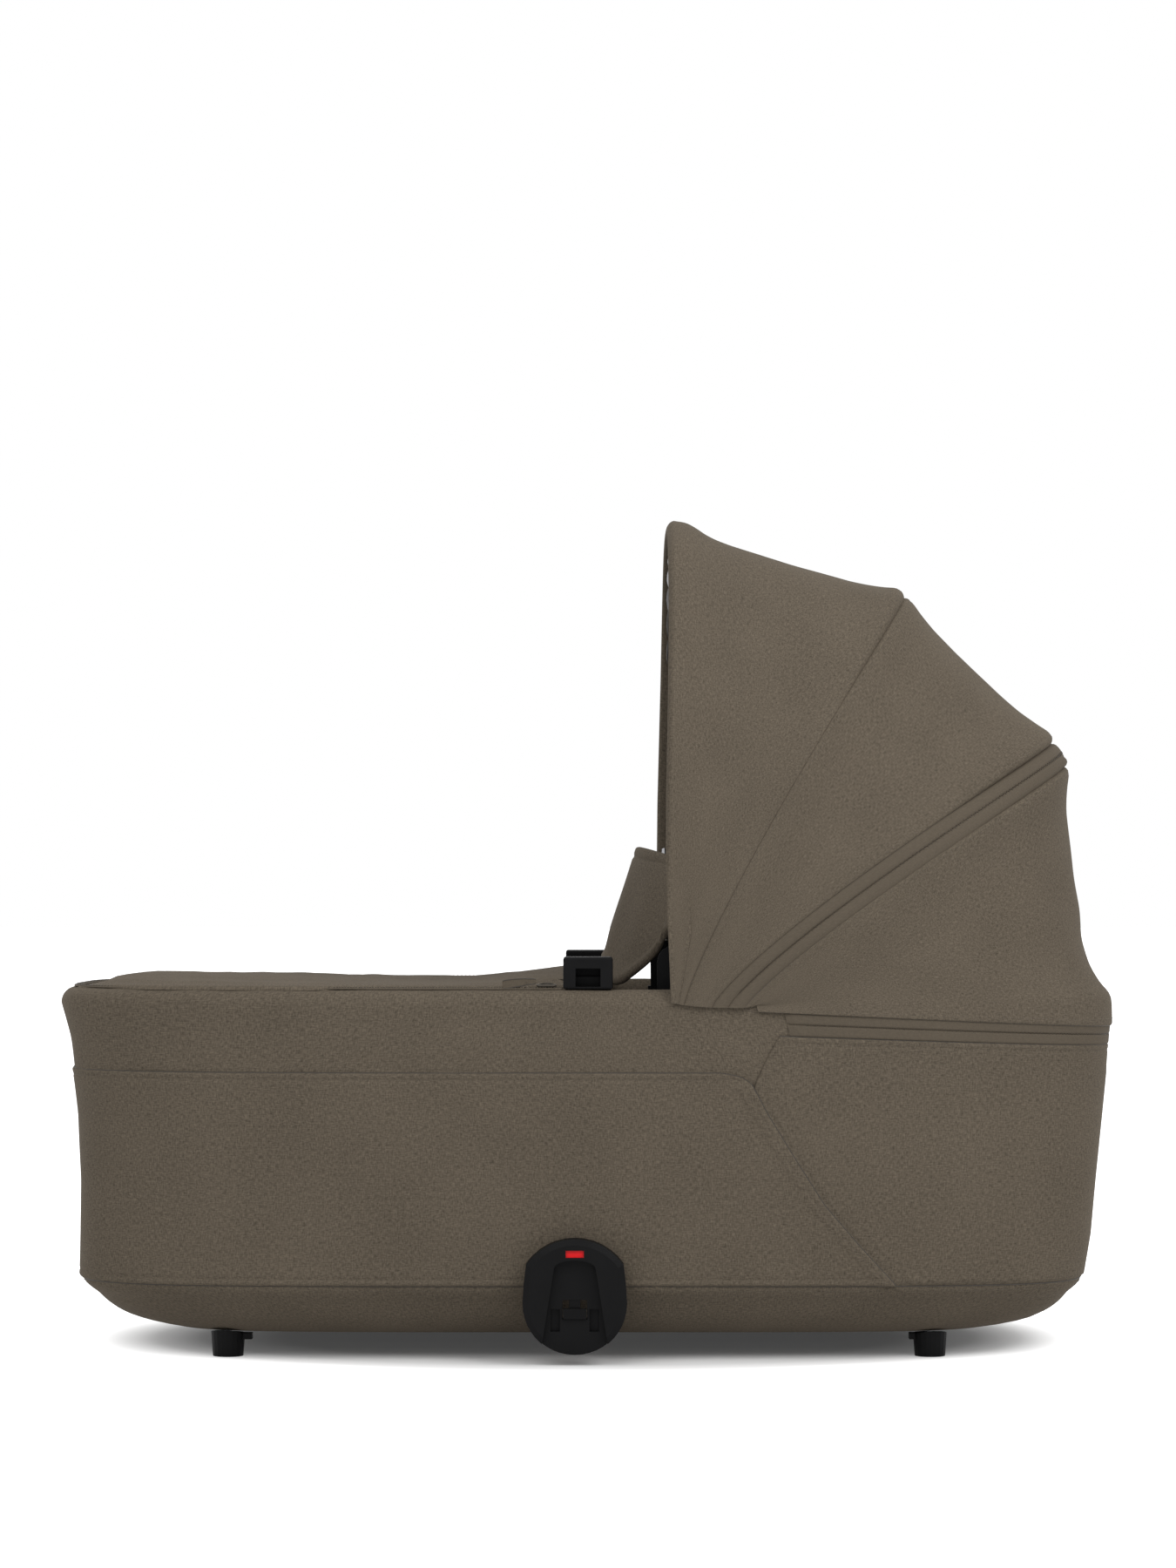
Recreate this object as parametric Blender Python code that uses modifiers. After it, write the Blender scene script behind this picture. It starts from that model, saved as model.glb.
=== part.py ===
"""A carrycot with a folding canopy, an apron with a wind flap, and receivers for a pushchair frame.

Metres, +Z up. The foot end is at -X, the head end at +X, and the near side at -Y. The cot stands on its feet
at z = 0, with the origin under its middle.
"""
import math

import bmesh
import bpy
from mathutils import Matrix, Vector

# Overall sizes of the cot's body
FOOT_REACH = 0.418
HEAD_REACH = 0.415
RIM_HALF_WIDTH = 0.215
RIM_TOP = 0.2845
BODY_BOTTOM = 0.018
FLOOR_POWER = 5.5
RIM_POWER = 3.7

# Fabric, clearances and the rolled rim
FABRIC = 0.002
GAP = 0.0003
SLEEVE_GAP = 0.001
RIM_TUBE_RADIUS = 0.0095
RIM_ROLL = RIM_TUBE_RADIUS + SLEEVE_GAP + FABRIC
RIM_AXIS_Z = RIM_TOP - RIM_ROLL
SKIRT_DROP = 0.010

# The body's wall from its bottom to the rim's axis: height, foot reach, head reach and width, each as a share
WALL_PROFILE_SHARES = [
    (0.000, 0.780, 0.766, 0.740),
    (0.016, 0.832, 0.831, 0.785),
    (0.043, 0.878, 0.870, 0.828),
    (0.084, 0.912, 0.902, 0.868),
    (0.157, 0.954, 0.935, 0.938),
    (0.289, 0.952, 0.951, 0.948),
    (0.453, 0.952, 0.962, 0.958),
    (0.657, 0.959, 0.976, 0.974),
    (0.894, 0.982, 0.992, 0.994),
    (1.000, 1.000, 1.000, 1.000),
]
RING_POINTS = 44
CORNER_WEIGHT = 0.25
TURN_MARGIN = 0.01
ROLL_STEPS = 4

# Tray, lining and mattress
TRAY_INSET = 0.003
TRAY_WALL = 0.0025
TRAY_HEIGHT = 0.057
LINING_INSET = 0.0315
LINING_TOP_DROP = 0.0145
MATTRESS_CLEARANCE = 0.004
MATTRESS_THICKNESS = 0.035
MATTRESS_CROWN = 0.006

# Panels sewn over the cover
PANEL = 0.002
WALL_GAP = 0.0006
SEAM_BOTTOM_Z = 0.0585
SEAM_TOP_Z = 0.2218
PANEL_TOP_END_X = 0.110
PANEL_CORNER_X = 0.1270
PANEL_CORNER_DROP = 0.0115
PANEL_BOTTOM_END_X = 0.2365
BAND_START_X = 0.1475
BAND_TOP_NEAR_Z = 0.2665
BAND_TOP_HEAD_Z = 0.2535
BAND_LOW_NEAR_Z = 0.2490
BAND_LOW_HEAD_Z = 0.2392
BAND = 0.0015
POCKET_TOP_START_X = 0.1480
POCKET_EDGE_POWER = 0.6

# Uprights and stays in the walls
UPRIGHT_X = 0.012
UPRIGHT_WIDTH = 0.030
UPRIGHT_THICKNESS = 0.003
STAY_RADIUS = 0.003
STAY_POWER = 6
STAY_SPREAD = math.radians(52)
STAY_LOW_Z = 0.062

# Feet
FOOT_END_INSET = 0.04754
HEAD_END_INSET = 0.05329
FOOT_SIDE_INSET = 0.0171
FOOT_X = (FOOT_END_INSET - WALL_PROFILE_SHARES[0][1] * FOOT_REACH,
          WALL_PROFILE_SHARES[0][2] * HEAD_REACH - HEAD_END_INSET)
FOOT_Y = WALL_PROFILE_SHARES[0][3] * RIM_HALF_WIDTH - FOOT_SIDE_INSET
FOOT_TOP_RADIUS = 0.01375
FOOT_LOW_RADIUS = 0.0118
FOOT_TOP_Z = 0.026
FOOT_LUG = 0.005
SCREW_OFFSET = 0.010
SCREW_RADIUS = 0.002
SCREW_HEAD_RADIUS = 0.0045
SCREW_HEAD = 0.0022
SCREW_LOW_Z = 0.009

# Disc that receives the pushchair frame
DISC_X = -0.010
DISC_WIDTH = 0.079
DISC_BOTTOM = 0.0085
DISC_TOP = 0.0965
DISC_SHOULDER_HALF = 0.0368
DISC_SHOULDER_DROP = 0.0191
DISC_THICKNESS = 0.018
DISC_RIM_BEVEL = 0.0045
BOSS_RADIUS = 0.028
BOSS_Z = 0.056
POCKET_TOP_Z = 0.0807
POCKET_ARCH = 0.0065
POCKET_TOP_HALF = 0.0158
POCKET_LOW_HALF = 0.0265
POCKET_DEPTH = 0.008
SLOT_OFFSET = 0.0148
SLOT_WIDTH = 0.0072
SLOT_LOW_Z = 0.0262
SLOT_TOP_Z = 0.0432
SLOT_DEPTH = 0.004

# Latch, rod and slider of the release, and the lock indicator
RELEASE_TRAVEL = 0.006
RUN_CLEARANCE = 0.0005
LATCH_WIDTH = 0.0177
LATCH_LOW_Z = 0.0357
LATCH_HEIGHT = 0.008
LATCH_PROUD = 0.0025
LATCH_BACK = 0.0065
STRIP_WIDTH = 0.0084
STRIP_THICKNESS = 0.0035
STEM_LOW_Z = 0.0655
STEM_HEIGHT = 0.007
ROD_RADIUS = 0.0015
ROD_INSET = 0.029
ROD_Y = RIM_HALF_WIDTH - ROD_INSET
FLAG_WIDTH = 0.0138
FLAG_HEIGHT = 0.0066
FLAG_THICKNESS = 0.002
FLAG_Z = 0.0853
FLAG_WINDOW_HEIGHT = 0.0054
FLAG_LIP = 0.0016
FLAG_TRAVEL = 0.007

# Release housing on the rim
HOUSING_WIDTH = 0.0377
HOUSING_TOP_Z = 0.3094
HOUSING_INSET = 0.007
HOUSING_DEPTH = 0.0295
HOUSING_OUTER_Y = RIM_HALF_WIDTH - HOUSING_INSET
HOUSING_INNER_Y = HOUSING_OUTER_Y - HOUSING_DEPTH
HOUSING_WALL = 0.004
HOUSING_BEVEL = 0.0018
WINDOW_WIDTH = 0.019
WINDOW_HEIGHT = 0.0139
WINDOW_FLOOR = 0.002
CHAMBER_Y = HOUSING_INNER_Y + HOUSING_WALL
SLIDER_HEIGHT = 0.0072

# Canopy: pivot, hubs, arms and bows
PIVOT_X = 0.066
PIVOT_Z = 0.2507
HUB_RADIUS = 0.024
HUB_PLATE = 0.0055
HUB_LUG_WIDTH = 0.030
HUB_LUG_HEIGHT = 0.014
HUB_LUG_RISE = 0.0145
ARM_THICKNESS = 0.003
ARM_PITCH = 0.0052
ARM_EYE_RADIUS = 0.0125
ARM_END_RADIUS = 0.0135
ARM_REACH = 0.0535
PIN_RADIUS = 0.004
PIN_HEAD_RADIUS = 0.009
PIN_HEAD = 0.0022
BOW_RADIUS = 0.003
BOW_DEPTH = 0.0078
BOW_STRAIGHT = 0.006
BOW_FLARE_LENGTH = 0.055

# Canopy fabric: half width, power of its arch, and the ribs along which it is sewn, in the side view
CANOPY_OVERHANG = 0.0035
CANOPY_HALF_WIDTH = RIM_HALF_WIDTH + CANOPY_OVERHANG
ARCH_POWER = 2.7
FRONT_RIB = ((0.0640, 0.2742), (0.0683, 0.6564), 1.0)
FIRST_RIB = ((0.0726, 0.2729), (0.2540, 0.5959), 1.18)
SECOND_RIB = ((0.0937, 0.2712), (0.3723, 0.4790), 1.22)
ZIP_RIB = ((0.1060, 0.2710), (0.3800, 0.4713), 1.20)
THIRD_RIB = ((0.1188, 0.2709), (0.3828, 0.4600), 1.18)
FRONT_SAG_SHARE = 0.012
MIDDLE_SAG_SHARE = 0.010
REAR_SAG_SHARE = 0.022
REAR_HEM_START_X = 0.1270
HEM_GAP = 0.0010
LAP_END_SHARE = 0.15

# Apron and wind flap
APRON_INSET = 0.0165
APRON_END_X = 0.016
APRON_NARROW_START_X = -0.062
APRON_NARROW_END_X = -0.024
APRON_NARROW_INSET = 0.047
APRON_NARROW_HALF = RIM_HALF_WIDTH - APRON_NARROW_INSET
APRON_LIFT = 0.002
APRON_EDGE = 0.0035
APRON_CROWN = 0.0085
APRON_END_RISE = 0.0035
APRON_FOOT_SHARE = 0.35
APRON_END_SHARE = 0.002
APRON_RISE_LENGTH = 0.090
ZIP_WIDTH = 0.0060
ZIP_THICKNESS = 0.0012
ZIP_INSET = 0.0095
ZIP_END_X = -0.0205
SLIDER_X = -0.0315
SLIDER_LENGTH = 0.0150
SLIDER_WIDTH = 0.0075
SLIDER_THICKNESS = 0.0036
PULL_LENGTH = 0.0260
PULL_HEIGHT = 0.0088
PULL_THICKNESS = 0.0012
SLIDER_TRAVEL = 0.090
FLAP_INSET = 0.055
FLAP_HALF_WIDTH = RIM_HALF_WIDTH - FLAP_INSET
FLAP_BASE_X = 0.0125
FLAP_BASE_RISE = 0.0005
FLAP_TOP_X = 0.0408
FLAP_TOP_Z = 0.395
FLAP_SIDE_LOW_X = 0.0622
FLAP_SIDE_LOW_Z = 0.3346
FLAP_SIDE_TOP_X = 0.0750
FLAP_SIDE_TOP_Z = 0.3834
FLAP_THICKNESS = 0.004
FLAP_FREE_SHARE = 0.72
FLAP_CURVE_POWER = 2.4
MAGNET_RADIUS = 0.007
MAGNET_THICKNESS = 0.0025
MAGNET_DROP = 0.014

OVERRUN = 0.002
SIDES = {"near": -1, "far": 1}
WALL_HEIGHT = RIM_AXIS_Z - BODY_BOTTOM

# Colours of the materials, as linear values
TAUPE = (0.108, 0.090, 0.070)
DARK_TAUPE = (0.088, 0.073, 0.056)
PALE_LINING = (0.300, 0.285, 0.255)
BLACK_PLASTIC = (0.012, 0.012, 0.013)
STEEL = (0.420, 0.420, 0.430)
SIGNAL_RED = (0.620, 0.008, 0.012)


def clear_scene():
    for found in list(bpy.data.objects):
        bpy.data.objects.remove(found, do_unlink=True)


def make_collection(name):
    collection = bpy.data.collections.new(name)
    bpy.context.scene.collection.children.link(collection)
    return collection


clear_scene()
PARTS = make_collection("carrycot")
CUTTERS = make_collection("cutters")


def material(name, colour, roughness, metallic=0.0):
    made = bpy.data.materials.new(name)
    made.use_nodes = True
    shader = made.node_tree.nodes["Principled BSDF"]
    shader.inputs["Base Color"].default_value = (*colour, 1.0)
    shader.inputs["Roughness"].default_value = roughness
    shader.inputs["Metallic"].default_value = metallic
    return made


def place(obj, colour=None, roughness=0.9, metallic=0.0):
    """Move an object into the part's collection and give it its own material."""
    for holder in list(obj.users_collection):
        holder.objects.unlink(obj)
    PARTS.objects.link(obj)
    if colour:
        obj.data.materials.clear()
        obj.data.materials.append(material(obj.name, colour, roughness, metallic))
    return obj


def as_cutter(obj):
    """Move an object among the cutters, which are not part of the model."""
    for holder in list(obj.users_collection):
        holder.objects.unlink(obj)
    CUTTERS.objects.link(obj)
    obj.hide_render = True
    obj.display_type = "WIRE"
    return obj


def combine(target, other, operation):
    boolean = target.modifiers.new(operation.lower(), "BOOLEAN")
    boolean.operation = operation
    boolean.object = as_cutter(other)


def mesh_object(name, bm, smooth_angle=None):
    mesh = bpy.data.meshes.new(name)
    bm.to_mesh(mesh)
    bm.free()
    obj = bpy.data.objects.new(name, mesh)
    bpy.context.scene.collection.objects.link(obj)
    if smooth_angle is not None:
        mesh.shade_smooth()
        mesh.set_sharp_from_angle(angle=math.radians(smooth_angle))
    return obj


def box(name, low, high):
    """A box primitive between two corners."""
    low_corner = Vector([min(pair) for pair in zip(low, high)])
    high_corner = Vector([max(pair) for pair in zip(low, high)])
    bm = bmesh.new()
    bmesh.ops.create_cube(bm, size=1.0)
    bmesh.ops.scale(bm, vec=high_corner - low_corner, verts=bm.verts)
    bmesh.ops.translate(bm, vec=(high_corner + low_corner) / 2, verts=bm.verts)
    return mesh_object(name, bm)


def cylinder_y(name, x, z, radius, y_from, y_to, sides=24):
    """A cylinder primitive whose axis lies along Y."""
    bm = bmesh.new()
    bmesh.ops.create_cone(
        bm, cap_ends=True, segments=sides, radius1=radius, radius2=radius, depth=abs(y_to - y_from))
    bmesh.ops.rotate(bm, cent=(0, 0, 0), matrix=Matrix.Rotation(math.pi / 2, 3, "X"), verts=bm.verts)
    bmesh.ops.translate(bm, vec=(x, (y_from + y_to) / 2, z), verts=bm.verts)
    return mesh_object(name, bm, 40)


def cone_z(name, x, y, z_from, z_to, low_radius, top_radius, sides=20):
    """A cylinder or cone primitive that stands along Z."""
    bm = bmesh.new()
    bmesh.ops.create_cone(
        bm, cap_ends=True, segments=sides, radius1=low_radius, radius2=top_radius, depth=z_to - z_from)
    bmesh.ops.translate(bm, vec=(x, y, (z_from + z_to) / 2), verts=bm.verts)
    return mesh_object(name, bm, 40)


def loft(name, rings, close_start=True, close_end=True):
    """A skin through closed rings that hold equally many points."""
    bm = bmesh.new()
    rows = [[bm.verts.new(point) for point in ring] for ring in rings]
    count = len(rows[0])
    for low, high in zip(rows, rows[1:]):
        for i in range(count):
            j = (i + 1) % count
            bm.faces.new((low[i], low[j], high[j], high[i]))
    if close_start:
        bm.faces.new(list(reversed(rows[0])))
    if close_end:
        bm.faces.new(rows[-1])
    return mesh_object(name, bm, 50)


def slab(name, outer, inner):
    """A closed solid between two grids of points, such as a curved piece of cloth."""
    bm = bmesh.new()
    rows, columns = len(outer), len(outer[0])
    top = [[bm.verts.new(point) for point in row] for row in outer]
    low = [[bm.verts.new(point) for point in row] for row in inner]
    for i in range(rows - 1):
        for j in range(columns - 1):
            bm.faces.new((top[i][j], top[i][j + 1], top[i + 1][j + 1], top[i + 1][j]))
            bm.faces.new((low[i][j], low[i + 1][j], low[i + 1][j + 1], low[i][j + 1]))
    for i in range(rows - 1):
        bm.faces.new((top[i][0], top[i + 1][0], low[i + 1][0], low[i][0]))
        bm.faces.new((top[i + 1][-1], top[i][-1], low[i][-1], low[i + 1][-1]))
    for j in range(columns - 1):
        bm.faces.new((top[0][j + 1], top[0][j], low[0][j], low[0][j + 1]))
        bm.faces.new((top[-1][j], top[-1][j + 1], low[-1][j + 1], low[-1][j]))
    bmesh.ops.recalc_face_normals(bm, faces=bm.faces)
    return mesh_object(name, bm, 50)


def tube(name, points, radius, cyclic=False):
    """A round bar along points, as a curve with a bevel and filled caps."""
    curve = bpy.data.curves.new(name, "CURVE")
    curve.dimensions = "3D"
    curve.bevel_depth = radius
    curve.bevel_resolution = 2
    curve.use_fill_caps = not cyclic
    spline = curve.splines.new("POLY")
    spline.points.add(len(points) - 1)
    spline.use_cyclic_u = cyclic
    for slot, point in zip(spline.points, points):
        slot.co = (*point, 1.0)
    obj = bpy.data.objects.new(name, curve)
    bpy.context.scene.collection.objects.link(obj)
    return obj


def plate_xz(name, outlines, thickness):
    """A flat outline in the XZ plane, with any holes, as a filled curve extruded along Y."""
    curve = bpy.data.curves.new(name, "CURVE")
    curve.dimensions = "2D"
    curve.fill_mode = "BOTH"
    curve.extrude = thickness / 2
    for outline in outlines:
        spline = curve.splines.new("POLY")
        spline.points.add(len(outline) - 1)
        spline.use_cyclic_u = True
        for slot, (x, z) in zip(spline.points, outline):
            slot.co = (x, z, 0.0, 1.0)
    obj = bpy.data.objects.new(name, curve)
    bpy.context.scene.collection.objects.link(obj)
    obj.rotation_euler = (math.pi / 2, 0, 0)
    return obj


def curve_to_mesh(obj):
    """Make a filled curve a mesh that a Boolean can cut."""
    bpy.context.view_layer.update()
    evaluated = obj.evaluated_get(bpy.context.evaluated_depsgraph_get())
    mesh = bpy.data.meshes.new_from_object(evaluated)
    bm = bmesh.new()
    bm.from_mesh(mesh)
    bmesh.ops.remove_doubles(bm, verts=bm.verts, dist=GAP / 10)
    bm.to_mesh(mesh)
    bm.free()
    name = obj.name
    made = bpy.data.objects.new(name + "_mesh", mesh)
    made.matrix_world = obj.matrix_world
    bpy.context.scene.collection.objects.link(made)
    bpy.data.objects.remove(obj, do_unlink=True)
    made.name = name
    return made


def mix(start, end, share):
    return start + (end - start) * share


def smooth_step(value):
    held = min(max(value, 0.0), 1.0)
    return held * held * (3 - 2 * held)


def plan_point(turn, foot, head, half, power):
    """A point of a level outline: turn 0 is the foot end, a quarter turn is the near side."""
    along, across = math.cos(turn), math.sin(turn)
    reach = foot if along > 0 else head
    x = -math.copysign(abs(along) ** (2 / power), along) * reach
    y = -math.copysign(abs(across) ** (2 / power), across) * half
    return x, y


def profile_point(row, turn, inset):
    """A point of the outline at one row of the wall's profile."""
    height, foot, head, half = row
    power = mix(FLOOR_POWER, RIM_POWER, height)
    reaches = (foot * FOOT_REACH - inset, head * HEAD_REACH - inset, half * RIM_HALF_WIDTH - inset)
    return plan_point(turn, *reaches, power)


def skin(turn, z, inset=0.0, lift=0.0):
    """A point on the body's wall, moved in by the inset; lift raises the wall's whole shape."""
    share = min(max((z - lift - BODY_BOTTOM) / WALL_HEIGHT, 0.0), 1.0)
    rows = list(zip(WALL_PROFILE_SHARES, WALL_PROFILE_SHARES[1:]))
    low, high = next(pair for pair in rows if share <= pair[1][0])
    part = (share - low[0]) / (high[0] - low[0])
    start, end = profile_point(low, turn, inset), profile_point(high, turn, inset)
    return Vector((mix(start[0], end[0], part), mix(start[1], end[1], part), z))


def turn_at_x(x, z, inset=0.0):
    """The turn on the near side at which the wall passes x, found by halving."""
    low, high = 0.0, math.pi
    for _ in range(40):
        middle = (low + high) / 2
        if skin(middle, z, inset).x < x:
            low = middle
        else:
            high = middle
    return (low + high) / 2


def half_width_at(x, z, inset=0.0):
    """Half the width of the body's wall at a place along it."""
    return -skin(turn_at_x(x, z, inset), z, inset).y


def evenly(places, measures, count):
    """Places at which a growing measure reaches evenly spaced values."""
    result, k = [], 0
    for i in range(count):
        wanted = measures[-1] * i / (count - 1)
        while k < len(places) - 2 and measures[k + 1] < wanted:
            k += 1
        share = (wanted - measures[k]) / (measures[k + 1] - measures[k])
        result.append(mix(places[k], places[k + 1], share))
    return result


def ring_turns():
    """Turns round the wall, closer together where it bends."""
    samples = 2400
    turns = [2 * math.pi * (i + 0.5) / samples for i in range(samples + 1)]
    points = [skin(turn, RIM_AXIS_Z) for turn in turns]
    measures = [0.0]
    for a, b, c in zip(points, points[1:], points[2:] + points[1:2]):
        bend = (b - a).angle(c - b)
        measures.append(measures[-1] + (b - a).length + CORNER_WEIGHT * bend)
    spaced = evenly(turns, measures, RING_POINTS + 1)[:-1]
    return [turn - turns[0] for turn in spaced]


FULL_TURNS = ring_turns()


def turns_between(start, end):
    """The ring's turns between two, with the two themselves; a turn below zero lies past the foot end."""
    laps = [turn + 2 * math.pi * lap for lap in (-1, 0, 1) for turn in FULL_TURNS]
    return [start] + [turn for turn in laps if start + TURN_MARGIN < turn < end - TURN_MARGIN] + [end]


def ring(z, inset=0.0, lift=0.0):
    return [skin(turn, z, inset, lift) for turn in FULL_TURNS]


def profile_heights(low, high, lift=0.0):
    """The heights of the wall's bends between two heights, with the two themselves."""
    bends = [BODY_BOTTOM + lift + share[0] * WALL_HEIGHT for share in WALL_PROFILE_SHARES]
    return [low] + [z for z in bends if low + GAP < z < high - GAP] + [high]


def wall_rings(top, inset, lift=0.0):
    """Rings of the wall's shape from its bottom up to a height."""
    return [ring(z, inset, lift) for z in profile_heights(BODY_BOTTOM + lift, top, lift)]


def body_cover():
    """The outer cloth: a cup whose rim rolls over the tube and ends in a short skirt inside."""
    rings = wall_rings(RIM_AXIS_Z, 0.0)
    for step in range(1, ROLL_STEPS + 1):
        angle = math.pi * step / ROLL_STEPS
        rings.append(ring(RIM_AXIS_Z + RIM_ROLL * math.sin(angle), RIM_ROLL * (1 - math.cos(angle))))
    rings.append(ring(RIM_AXIS_Z - SKIRT_DROP, 2 * RIM_ROLL))
    cover = place(loft("body_cover", rings, close_end=False), TAUPE)
    thickness(cover, FABRIC)
    for side in SIDES.values():
        combine(cover, boss_hole(side, GAP), "DIFFERENCE")
    return cover


def thickness(obj, amount):
    """Give an open skin its thickness on its inner side."""
    solid = obj.modifiers.new("thickness", "SOLIDIFY")
    solid.thickness = amount
    solid.offset = -1.0


def boss_hole(side, gap):
    return cylinder_y("boss_hole", DISC_X, BOSS_Z, BOSS_RADIUS + gap, side * FOOT_Y, side * disc_face())


def disc_back():
    """The disc's back lies just outside the panel at the height of the disc's top."""
    return half_width_at(DISC_X, DISC_TOP) + WALL_GAP + PANEL + GAP


def disc_face():
    return disc_back() + DISC_THICKNESS


def tray_top():
    return BODY_BOTTOM + TRAY_HEIGHT


def tray_lift():
    return FABRIC + GAP


def floor_tray():
    """The moulded tray in the cover's bottom, notched where the latch's stem comes through."""
    tray = place(loft("floor_tray", wall_rings(tray_top(), TRAY_INSET, tray_lift()), close_end=False),
                 BLACK_PLASTIC, 0.5)
    thickness(tray, TRAY_WALL)
    half = STRIP_WIDTH / 2 + RUN_CLEARANCE + GAP
    for side in SIDES.values():
        low = (DISC_X - half, side * ROD_Y, STEM_LOW_Z - RUN_CLEARANCE)
        high = (DISC_X + half, side * disc_back(), tray_top() + OVERRUN)
        combine(tray, box("stem_notch", low, high), "DIFFERENCE")
    return tray


def lining_lift():
    return tray_lift() + TRAY_WALL + GAP


def lining_top():
    return RIM_AXIS_Z - LINING_TOP_DROP


def lining():
    """The inner cloth: a cup inside the tray and the walls."""
    rings = wall_rings(lining_top(), LINING_INSET, lining_lift())
    cup = place(loft("lining", rings, close_end=False), PALE_LINING)
    thickness(cup, FABRIC)
    return cup


def mattress():
    """A flat cushion with drawn-in sides and a low crown."""
    side_shares = [(0.0, 0.45), (0.12, 0.1), (0.28, 0.0), (0.5, 0.16), (0.72, 0.0), (0.88, 0.1), (1.0, 0.45)]
    crown_shares = [0.84, 0.56, 0.25]
    lift = lining_lift() + FABRIC + GAP
    inset = LINING_INSET + FABRIC + MATTRESS_CLEARANCE
    floor = BODY_BOTTOM + lift
    soft = MATTRESS_THICKNESS / 3
    rings = []
    for share, draw in side_shares:
        rings.append(ring(floor + share * MATTRESS_THICKNESS, inset + draw * soft, lift))
    top = rings[-1]
    for share in crown_shares:
        rise = MATTRESS_CROWN * (1 - share ** 2)
        rings.append([Vector((p.x * share, p.y * share, p.z + rise)) for p in top])
    return place(loft("mattress", rings), PALE_LINING, 0.95)


def rim_frame():
    points = ring(RIM_AXIS_Z, RIM_ROLL)
    frame = tube("rim_frame", points, RIM_TUBE_RADIUS, cyclic=True)
    return place(frame, STEEL, 0.35, 1.0)


def side_upright(name, side):
    """A flat bar from the tray to the rim, leaning with the wall."""
    low_z = tray_top() - TRAY_HEIGHT / 4
    high_z = RIM_AXIS_Z - RIM_TUBE_RADIUS - 2 * GAP
    low_y = half_width_at(UPRIGHT_X, low_z - tray_lift(), TRAY_INSET + TRAY_WALL + GAP + UPRIGHT_THICKNESS)
    high_y = RIM_HALF_WIDTH - RIM_ROLL
    lean = math.atan2(high_y - low_y, high_z - low_z)
    length = math.hypot(high_y - low_y, high_z - low_z)
    bar = box(name, (-UPRIGHT_WIDTH / 2, -UPRIGHT_THICKNESS / 2, 0),
              (UPRIGHT_WIDTH / 2, UPRIGHT_THICKNESS / 2, length))
    bar.location = (UPRIGHT_X, side * low_y, low_z)
    bar.rotation_euler = (-side * lean, 0, 0)
    return place(bar, STEEL, 0.4, 1.0)


def end_stay(name, middle_turn):
    """A wire arch in the end wall that holds the rim up."""
    steps = 20
    high_z = RIM_AXIS_Z - RIM_TUBE_RADIUS - STAY_RADIUS - GAP
    points = []
    for i in range(steps + 1):
        share = 2 * i / steps - 1
        turn = middle_turn + share * STAY_SPREAD
        drop = abs(share) ** STAY_POWER
        z = mix(high_z, STAY_LOW_Z, drop)
        under_rim = skin(turn, RIM_AXIS_Z, RIM_ROLL)
        point = under_rim.lerp(skin(turn, z, RIM_ROLL + STAY_RADIUS), drop)
        points.append(Vector((point.x, point.y, z)))
    return place(tube(name, points, STAY_RADIUS), STEEL, 0.35, 1.0)


def wall_patch(name, start, end, low, high, gap, depth, colour):
    """Cloth on the body's wall between two turns; low and high give its edges' heights at a turn."""
    turns = turns_between(start, end)
    lowest = min(low(turn) for turn in turns)
    highest = max(high(turn) for turn in turns)
    shares = [(z - lowest) / (highest - lowest) for z in profile_heights(lowest, highest)]
    grids = [[[skin(turn, mix(low(turn), high(turn), share), -reach) for turn in turns] for share in shares]
             for reach in (gap + depth, gap)]
    return place(slab(name, *grids), colour)


def slant_outline(far_x, offset):
    """The region beyond the lower panel's rounded corner and slanted end, in the side view."""
    corner_shares = (1.0, 0.8, 0.6, 0.4, 0.2, 0.0)
    corner = [(mix(PANEL_CORNER_X, PANEL_TOP_END_X, share ** 2) + offset,
               SEAM_TOP_Z - PANEL_CORNER_DROP * (1 - share)) for share in corner_shares]
    past = (SEAM_TOP_Z - SEAM_BOTTOM_Z) / WALL_HEIGHT * PANEL_CORNER_DROP
    slope = (PANEL_BOTTOM_END_X - PANEL_CORNER_X) / (SEAM_TOP_Z - PANEL_CORNER_DROP - SEAM_BOTTOM_Z)
    low = (PANEL_BOTTOM_END_X + past * slope + offset, SEAM_BOTTOM_Z - past)
    return corner + [low, (far_x, low[1]), (far_x, HOUSING_TOP_Z), (corner[0][0], HOUSING_TOP_Z)]


def lower_panel():
    """The overlay round the foot end, cut along its slants."""
    end = turn_at_x(HEAD_REACH * 2 / 3, SEAM_BOTTOM_Z)
    panel = wall_patch("lower_panel", -end, end, lambda turn: SEAM_BOTTOM_Z, lambda turn: SEAM_TOP_Z,
                       WALL_GAP, PANEL, TAUPE)
    beyond = plate_xz("slant", [slant_outline(HEAD_REACH, -GAP)], RIM_HALF_WIDTH * 3)
    combine(panel, curve_to_mesh(beyond), "DIFFERENCE")
    for side in SIDES.values():
        combine(panel, boss_hole(side, GAP), "DIFFERENCE")
    return panel


def band_line(near_z, head_z):
    """A seam's height along the head half: it sinks from the side towards the head end."""
    def height(turn):
        x = skin(turn, RIM_AXIS_Z).x
        return mix(near_z, head_z, (x - BAND_START_X) / (HEAD_REACH - BAND_START_X))
    return height


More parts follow.
